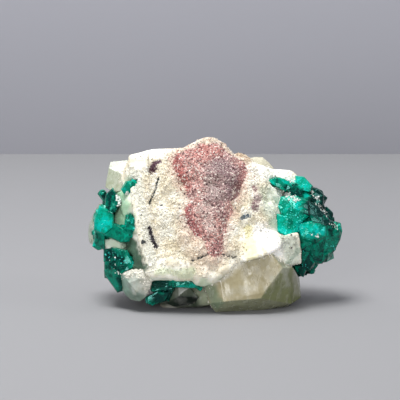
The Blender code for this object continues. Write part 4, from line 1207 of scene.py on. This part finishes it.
class SPECIMEN_OT_crumbs(bpy.types.Operator):
    """Strews crumbs of calcite, dark specks and the dark filling of the cracks, partly painted shade, over
    the front
    """

    bl_idname = "specimen.crumbs"
    bl_label = "Crumbs and specks"

    FROST = [(-16.2, 7.2), (-14.0, 7.4), (-11.6, 7.2), (-11.4, 4.6)]

    def execute(self, context):
        sizes = context.scene.specimen_sizes
        colours = context.scene.specimen_colours
        drawn = np.random.default_rng(GRAIN_SEED + 1)
        skin = bpy.data.objects["calcite_block_skin"].data

        def sandy(middles, normals):
            return (crumbliness(places_of(middles), normals @ TOWARD_VIEWER) - 0.1) ** 2 + 1e-6

        loose, _ = surface_points(skin, sandy, sizes.crumb_count, drawn)
        crystals = joined_mesh([solid + "_clear" for solid in CALCITE_CRYSTALS])
        held, _ = surface_points(crystals, self.by_calcite, sizes.contact_count, drawn)
        points = np.concatenate([loose, held])
        tints = calcite_colours(points, places_of(points), np.ones(len(points)), colours)
        tints[len(loose) :] = np.array(colours.calcite_white) * 0.95
        tints = np.clip(tints * np.exp(drawn.normal(0.0, 0.06, (len(points), 1))), 0, 0.97)
        crumbs = grain_mesh(
            points, sizes.crumb_grain * np.exp(drawn.normal(0.0, 0.35, len(points))), tints, RHOMB, drawn
        )
        new_piece("calcite_crumbs", crumbs, grain_material("calcite crumbs", 0.4))
        self.specks(skin, sizes, drawn, sandy)
        return {"FINISHED"}

    def by_calcite(self, middles, normals):
        """How many crumbs a place on a crystal gets: most by the block, and some as frost."""
        away = distance_to_solids(middles, ["calcite_matrix"], 1.2)
        from_frost = distance_to_line(places_of(middles), self.FROST)
        return 1 - step(away, 0.35, 0.9) + 4.0 * (1 - step(from_frost, 0.2, 1.5)) + FAINT

    def specks(self, skin, sizes, drawn, sandy):
        """Dark grains: a few everywhere, and many in the cracks, whose colour there is partly painted shade.
        """
        places = []
        tints = []
        grain_sizes = []
        loose, _ = surface_points(skin, sandy, sizes.speck_count, drawn)
        browns = np.array([linear(92, 70, 62), linear(60, 56, 54), linear(140, 112, 98), linear(40, 46, 46)])
        places.append(loose)
        tints.append(browns[drawn.integers(0, len(browns), len(loose))])
        grain_sizes.append(0.2 * MM * np.exp(drawn.normal(0.0, 0.4, len(loose))))
        # Specks in the cracks take the cracks' colour, which is partly painted shade.
        for patch in DARK_SEAMS_AND_PAINTED_SHADE:

            def in_crack(middles, normals, patch=patch):
                there = places_of(middles)
                away = distance_to_line(there, patch.line)
                outer = step(normals @ TOWARD_VIEWER, 0.1, 0.4) * on_the_front(there)
                return (1 - step(away, patch.reach * 0.5, patch.reach * 1.3)) * outer + FAINT

            length = sum(math.dist(a, b) for a, b in zip(patch.line, patch.line[1:]))
            count = int((length + patch.reach) * (40 + 160 * patch.reach) * patch.strength)
            points, _ = surface_points(skin, in_crack, count, drawn)
            places.append(points)
            shade = drawn.uniform(0.6, 1.5, (count, 1))
            tints.append(np.clip(np.array(linear(*patch.colour)) * shade, 0, 1))
            grain_sizes.append(0.16 * MM * np.exp(drawn.normal(0.0, 0.3, count)))
        mesh = grain_mesh(
            np.concatenate(places), np.concatenate(grain_sizes), np.concatenate(tints), POINTED, drawn
        )
        new_piece("dark_specks_and_crack_shade", mesh, grain_material("dark specks", 0.3))


class SPECIMEN_OT_calcite_crystals(bpy.types.Operator):
    """Puts cloudy see-through crystals in the place of the calcite crystals' solids"""

    bl_idname = "specimen.calcite_crystals"
    bl_label = "Clear calcite crystals"

    # For each crystal: its slot, the colour of its faces by the way they look, partly their own colour and
    # partly painted light and shade, with faces that look down darker; then the colour and the density of its
    # inside, its clarity and its roughness.

    LOOKS_AND_PAINTED_FACE_SHADE = {
        "lower_right_calcite_crystal": (
            "greenish_calcite",
            [((-0.1, 0.2, 1), (206, 194, 156)), ((1, -0.1, 0.7), (138, 146, 92)),
             ((0, -1, 0.4), (190, 194, 160)), ((1, 0.5, 0), (158, 160, 140))],
            (176, 170, 120), 60.0, 0.35, 0.16,
        ),
        "upper_left_calcite_crystal": (
            "pale_calcite",
            [((0, 0, 1), (190, 198, 176)), ((0, 1, 0), (180, 186, 168)), ((-1, 0, 0.3), (190, 200, 180))],
            (200, 206, 184), 60.0, 0.3, 0.2,
        ),
        "far_left_calcite_crystal": (
            "pale_calcite", [((0, 0, 1), (196, 212, 196)), ((-1, 0, 0), (206, 216, 204))],
            (190, 206, 192), 40.0, 0.4, 0.2,
        ),
        "upper_right_calcite_crystal": (
            "pale_calcite", [((0, 0, 1), (206, 200, 168)), ((0, 1, 0.3), (232, 228, 204))],
            (200, 200, 160), 60.0, 0.3, 0.25,
        ),
        "lower_left_calcite_crystal": (
            "grey_calcite",
            [((0, 0.4, 1), (236, 240, 230)), ((0, 1, 0.2), (244, 246, 238)), ((0, -1, 0.4), (170, 188, 176)),
             ((-1, 0, 0.4), (170, 192, 178))],
            (176, 194, 176), 50.0, 0.35, 0.28,
        ),
        "under_calcite_crystal": (
            "olive_calcite",
            [((0, 0.6, 1), (98, 110, 86)), ((0, -1, 0.3), (26, 42, 32)), ((1, 0, 0.5), (36, 78, 56)),
             ((-1, 0.2, 0.5), (98, 112, 92))],
            (110, 134, 104), 90.0, 0.4, 0.3,
        ),
    }

    # How deep the wear of the more worn crystals is, in millimetres.

    MORE_WORN = {"lower_left_calcite_crystal": 0.16, "far_left_calcite_crystal": 0.16}

    def execute(self, context):
        colours = context.scene.specimen_colours
        edge = context.scene.specimen_sizes.crystal_edge
        for solid, corners in CALCITE_CRYSTALS.items():
            slot, faces, inside, density, clarity, roughness = self.LOOKS_AND_PAINTED_FACE_SHADE[solid]
            made = faceted([seen(*corner) for corner in corners], edge)
            cut_to(made, 0.6 * MM)
            mesh = bpy.data.meshes.new(solid)
            made.to_mesh(mesh)
            made.free()
            points, normals = points_of(mesh)
            paint_colours(mesh, "tint", self.face_colours_and_painted_shade(points, normals, faces, colours))
            wear = self.MORE_WORN.get(solid, 0.04)
            moved = points + normals * (wear * MM * noise_at(points, 1.4, 1.0))[:, None]
            moved[:, 2] = np.maximum(moved[:, 2], 0.0)
            mesh.vertices.foreach_set("co", moved.ravel().astype(np.float32))
            mesh.update()
            material = clear_calcite_material(
                solid.replace("_", " "), linear(*inside), density, clarity, roughness
            )
            new_piece(solid + "_clear", mesh, material, [solid])
        return {"FINISHED"}

    def face_colours_and_painted_shade(self, points, normals, faces, colours):
        """The colour of each point: by the way that its face looks, which paints light and shade onto the
        faces, and whiter close to the block.
        """
        # Painted light and shade: each face takes the colour listed for the way it looks.
        shares = [np.maximum(normals @ np.array(heading(*way)), 0.01) ** 8 for way, _ in faces]
        shares = np.stack(shares, axis=1)
        shares /= shares.sum(axis=1)[:, None]
        made = shares @ np.array([linear(*colour) for _, colour in faces])
        wander = 0.6 * noise_at(points, 1.0, 4.0)
        away = distance_to_solids(points, ["calcite_matrix"], 3.0) + wander
        whiter = 0.55 * (1 - step(away, 0.3, 0.9))[:, None]
        made = made + (np.array(colours.calcite_white) - made) * whiter
        places = places_of(points)
        in_front = step(normals @ TOWARD_VIEWER, -0.2, 0.2)
        for patch in CRYSTAL_PATCHES:
            away = distance_to_line(places, patch.line) + wander
            weight = (1 - step(away, patch.reach * 0.4, patch.reach)) * patch.strength * in_front
            made = made + (np.array(linear(*patch.colour)) - made) * weight[:, None]
        return made


class SPECIMEN_OT_dioptase(bpy.types.Operator):
    """Puts separate glassy crystals, large and small, in the place of the dioptase solids"""

    bl_idname = "specimen.dioptase"
    bl_label = "Dioptase crystals"

    GROWING_BUDS = ("left_dioptase_cluster", "lower_left_dioptase_cluster", "right_dioptase_cluster")
    DARK = ("lower_left_dioptase_cluster", "lower_dioptase_seam")
    ROOM_FOR_PLATES = 0.6

    def execute(self, context):
        sizes = context.scene.specimen_sizes
        colours = context.scene.specimen_colours
        bright = dioptase_material("bright dioptase", colours, 60.0, 0.25)
        dark = dioptase_material("dark dioptase", colours, 160.0, 0.45)
        for solid, crystals in DIOPTASE_CLUSTERS.items():
            plates = DIOPTASE_PLATES.get(solid, [])
            if plates:
                crystals = [
                    one._replace(at=(*one.at[:2], one.at[2] - self.ROOM_FOR_PLATES)) for one in crystals
                ]
            grown = crystals + self.between(crystals)
            if solid in self.GROWING_BUDS:
                grown = grown + buds(crystals)
            material, slot = (dark, "dark_dioptase") if solid in self.DARK else (bright, "bright_dioptase")
            mesh = self.cluster(grown, plates, sizes.crystal_edge)
            new_piece(solid + "_crystals", mesh, material, [solid])
        self.chips()
        return {"FINISHED"}

    def chips(self):
        """Chips of white calcite, and small grains on the crystals that are painted glints."""
        drawn = np.random.default_rng(GRAIN_SEED + 4)
        joined = joined_mesh([solid + "_crystals" for solid in DIOPTASE_CLUSTERS])
        places = []
        grain_sizes = []
        tints = []
        for patch in CHIPPED:

            def in_patch(middles, normals, patch=patch):
                there = places_of(middles)
                away = distance_to_line(there, patch.line)
                outer = step(normals @ TOWARD_VIEWER, 0.0, 0.5) * step(there[:, 2], -3.0, 0.0)
                return (1 - step(away, 0.4 * patch.reach, patch.reach)) * outer + FAINT

            points, _ = surface_points(joined, in_patch, patch.count, drawn)
            places.append(points)
            grain_sizes.append(patch.size * MM * np.exp(drawn.normal(0.0, 0.4, patch.count)))
            tints.append(np.array(linear(*patch.colour)) * drawn.uniform(0.8, 1.0, (patch.count, 1)))
        mesh = grain_mesh(
            np.concatenate(places), np.concatenate(grain_sizes), np.concatenate(tints), RHOMB, drawn
        )
        new_piece("calcite_chips_and_painted_glints", mesh, grain_material("calcite chips and painted glints", 0.2))

    def between(self, crystals):
        """The crystals that fill the gaps between neighbours, a little further back than they stand."""
        drawn = random.Random(GRAIN_SEED + 3)
        filling = []
        for index, one in enumerate(crystals):
            for other in crystals[index + 1 :]:
                apart = math.dist(one.at, other.at)
                if apart > 1.5 * (one.radius + other.radius):
                    continue
                middle = (Vector(one.at) + Vector(other.at)) / 2 - Vector((0, 0, 0.35))
                towards = Vector(one.towards).normalized() + Vector(other.towards).normalized()
                towards += Vector([drawn.uniform(-0.6, 0.6) for _ in range(3)])
                radius = 0.42 * (one.radius + other.radius) * drawn.uniform(0.75, 1.05)
                filling.append(Crystal(tuple(middle), tuple(towards), radius, radius * 2.4))
        return filling

    def cluster(self, crystals, plates, edge):
        """One mesh of all these crystals. Each face has a tone of its own, as it sends light its own way."""
        drawn = random.Random(GRAIN_SEED + 2)
        points, faces, own_places, tones = [], [], [], []
        bodies = []
        for crystal in crystals:
            corners, axes = dioptase_corners(crystal, drawn)
            bodies.append((corners, seen(*crystal.at), axes, min(edge, 0.1 * crystal.radius * MM)))
        view_axes = (heading(1, 0, 0), heading(0, 1, 0), heading(0, 0, 1))
        for plate in plates:
            bodies.append((*plate_corners(plate), view_axes, edge))
        for corners, middle, axes, worn in bodies:
            made = faceted(corners, worn)
            cut_to(made, 1.1 * MM)
            start = len(points)
            crystal_tone = drawn.uniform(-0.1, 0.1)
            face_tones = {}
            made.verts.index_update()
            made.normal_update()
            for vertex in made.verts:
                points.append(tuple(vertex.co))
                away = vertex.co - middle
                own_places.append([away.dot(axis) + start * 0.01 for axis in axes])
            for face in made.faces:
                flat = tuple(round(value, 1) for value in face.normal)
                if flat not in face_tones:
                    face_tones[flat] = drawn.uniform(-0.18, 0.18)
                faces.append(tuple(start + vertex.index for vertex in face.verts))
                tones.append(face_tones[flat] + crystal_tone)
            made.free()
        mesh = bpy.data.meshes.new("crystals")
        mesh.from_pydata(points, [], faces)
        layer = mesh.attributes.new("own_place", "FLOAT_VECTOR", "POINT")
        layer.data.foreach_set("vector", np.array(own_places, np.float32).ravel())
        layer = mesh.attributes.new("face_tone", "FLOAT", "FACE")
        layer.data.foreach_set("value", np.array(tones, np.float32))
        # Each vertex's tone, with painted light and shade from the table.
        paint_values(mesh, "tone", self.tones_and_painted_shade(places_of(np.array(points))))
        return mesh

    def tones_and_painted_shade(self, places):
        """How bright each place is, from 0 to 1: partly the crystals' own depth of colour, partly painted
        light and shade.
        """
        made = np.full(len(places), 0.5)
        for patch in DIOPTASE_TONES_AND_PAINTED_SHADE:
            away = distance_to_line(places, patch.line)
            made += (patch.tone - made) * (1 - step(away, 0.4 * patch.reach, 1.2 * patch.reach))
        return made


class SPECIMEN_OT_stage(bpy.types.Operator):
    """Sets up the floor, the backdrop, the lights and the camera"""

    bl_idname = "specimen.stage"
    bl_label = "Stage"

    FLOOR_REACH = 1.2
    WALL_BACK = 0.161
    WALL_HEIGHT = 0.9
    CAMERA_AWAY = 0.8
    LENS = 400.0
    PICTURE_MIDDLE = (-2.34, 20.16, 0.0)
    LAMPS = [
        ("key light", (-0.08, -0.04, 0.42), 0.2, 2.05),
        ("front light", (-0.1, -0.5, 0.14), 0.2, 1.25),
        ("right light", (0.42, -0.1, 0.25), 0.15, 0.3),
        ("back light", (-0.1, 0.14, 0.4), 0.2, 0.8),
    ]

    def execute(self, context):
        self.floor_and_backdrop()
        for name, place, width, power in self.LAMPS:
            lamp = bpy.data.lights.new(name, "AREA")
            lamp.shape = "SQUARE"
            lamp.size = width
            lamp.energy = power
            held = bpy.data.objects.new(name, lamp)
            held.location = place
            held.rotation_euler = (Vector((0, 0, 0.012)) - Vector(place)).to_track_quat("-Z", "Y").to_euler()
            context.scene.collection.objects.link(held)
        world = bpy.data.worlds.new("studio")
        world.use_nodes = True
        world.node_tree.nodes["Background"].inputs["Color"].default_value = (0.86, 0.88, 0.95, 1.0)
        world.node_tree.nodes["Background"].inputs["Strength"].default_value = 0.3
        context.scene.world = world
        context.scene.view_settings.view_transform = "Standard"
        self.camera(context)
        return {"FINISHED"}

    def floor_and_backdrop(self):
        """A pale floor all round, and behind it a backdrop that is open from its back, with painted shade
        that darkens it near the floor.
        """
        reach = self.FLOOR_REACH
        for name, corners, colour in (
            ("floor", [(-reach, -reach, 0), (reach, -reach, 0), (reach, reach, 0), (-reach, reach, 0)], 0.25),
            ("backdrop", [
                (-reach, self.WALL_BACK, 0), (reach, self.WALL_BACK, 0),
                (reach, self.WALL_BACK, self.WALL_HEIGHT), (-reach, self.WALL_BACK, self.WALL_HEIGHT),
            ], 0.44),
        ):
            mesh = bpy.data.meshes.new(name)
            mesh.from_pydata(corners, [], [(0, 1, 2, 3)])
            material, tree, shader, output = new_material(name)
            shader.inputs["Base Color"].default_value = (colour, colour, colour * 1.03, 1.0)
            shader.inputs["Roughness"].default_value = 0.9
            if name == "backdrop":
                # Painted shade: the backdrop darker close to the floor, as the light falls off there.
                height = node(tree, "ShaderNodeSeparateXYZ", {"Vector": world_place(tree)}).outputs["Z"]
                rising = spread(tree, height, 0.0, 0.08)
                pale = (colour, colour, colour * 1.1)
                painted_shade_near_floor = tuple(0.66 * value for value in pale)
                tree.links.new(mixed(tree, rising, painted_shade_near_floor, pale), shader.inputs["Base Color"])
                behind = tree.nodes.new("ShaderNodeNewGeometry").outputs["Backfacing"]
                clear = tree.nodes.new("ShaderNodeBsdfTransparent")
                both = tree.nodes.new("ShaderNodeMixShader")
                tree.links.new(behind, both.inputs[0])
                tree.links.new(shader.outputs[0], both.inputs[1])
                tree.links.new(clear.outputs[0], both.inputs[2])
                tree.links.new(both.outputs[0], output.inputs["Surface"])
            mesh.materials.append(material)
            made = bpy.data.objects.new(name, mesh)
            bpy.context.scene.collection.objects.link(made)

    def camera(self, context):
        """The camera at the viewer's place."""
        lens = bpy.data.cameras.new("camera")
        lens.lens = self.LENS
        lens.clip_start = 0.01
        lens.clip_end = 10.0
        held = bpy.data.objects.new("camera", lens)
        target = seen(*self.PICTURE_MIDDLE)
        toward = heading(0, 0, 1)
        held.location = target + toward * self.CAMERA_AWAY
        held.rotation_euler = (-toward).to_track_quat("-Z", "Y").to_euler()
        context.scene.collection.objects.link(held)
        context.scene.camera = held


class SPECIMEN_PT_panel(bpy.types.Panel):
    """The sizes, the colours and the steps of the specimen"""

    bl_idname = "SPECIMEN_PT_panel"
    bl_label = "Dioptase specimen"
    bl_space_type = "VIEW_3D"
    bl_region_type = "UI"
    bl_category = "Specimen"

    def draw(self, context):
        for group in (context.scene.specimen_sizes, context.scene.specimen_colours):
            box = self.layout.box()
            for name in group.__annotations__:
                box.prop(group, name)
        for operator in OPERATORS:
            self.layout.operator(operator.bl_idname)


OPERATORS = (
    SPECIMEN_OT_calcite,
    SPECIMEN_OT_druse,
    SPECIMEN_OT_crumbs,
    SPECIMEN_OT_calcite_crystals,
    SPECIMEN_OT_dioptase,
    SPECIMEN_OT_stage,
)
CLASSES = (SpecimenSizes, SpecimenColours, *OPERATORS, SPECIMEN_PT_panel)


def register():
    """Makes the classes and their settings known to Blender."""
    for made in CLASSES:
        bpy.utils.register_class(made)
    bpy.types.Scene.specimen_sizes = PointerProperty(type=SpecimenSizes)
    bpy.types.Scene.specimen_colours = PointerProperty(type=SpecimenColours)


def unregister():
    """Undoes what register did."""
    del bpy.types.Scene.specimen_colours
    del bpy.types.Scene.specimen_sizes
    for made in reversed(CLASSES):
        bpy.utils.unregister_class(made)


def main():
    """Builds the specimen and its stage."""
    register()
    bpy.ops.specimen.calcite()
    bpy.ops.specimen.druse()
    bpy.ops.specimen.calcite_crystals()
    bpy.ops.specimen.dioptase()
    bpy.ops.specimen.crumbs()
    bpy.ops.specimen.stage()


if __name__ == "__main__":
    main()
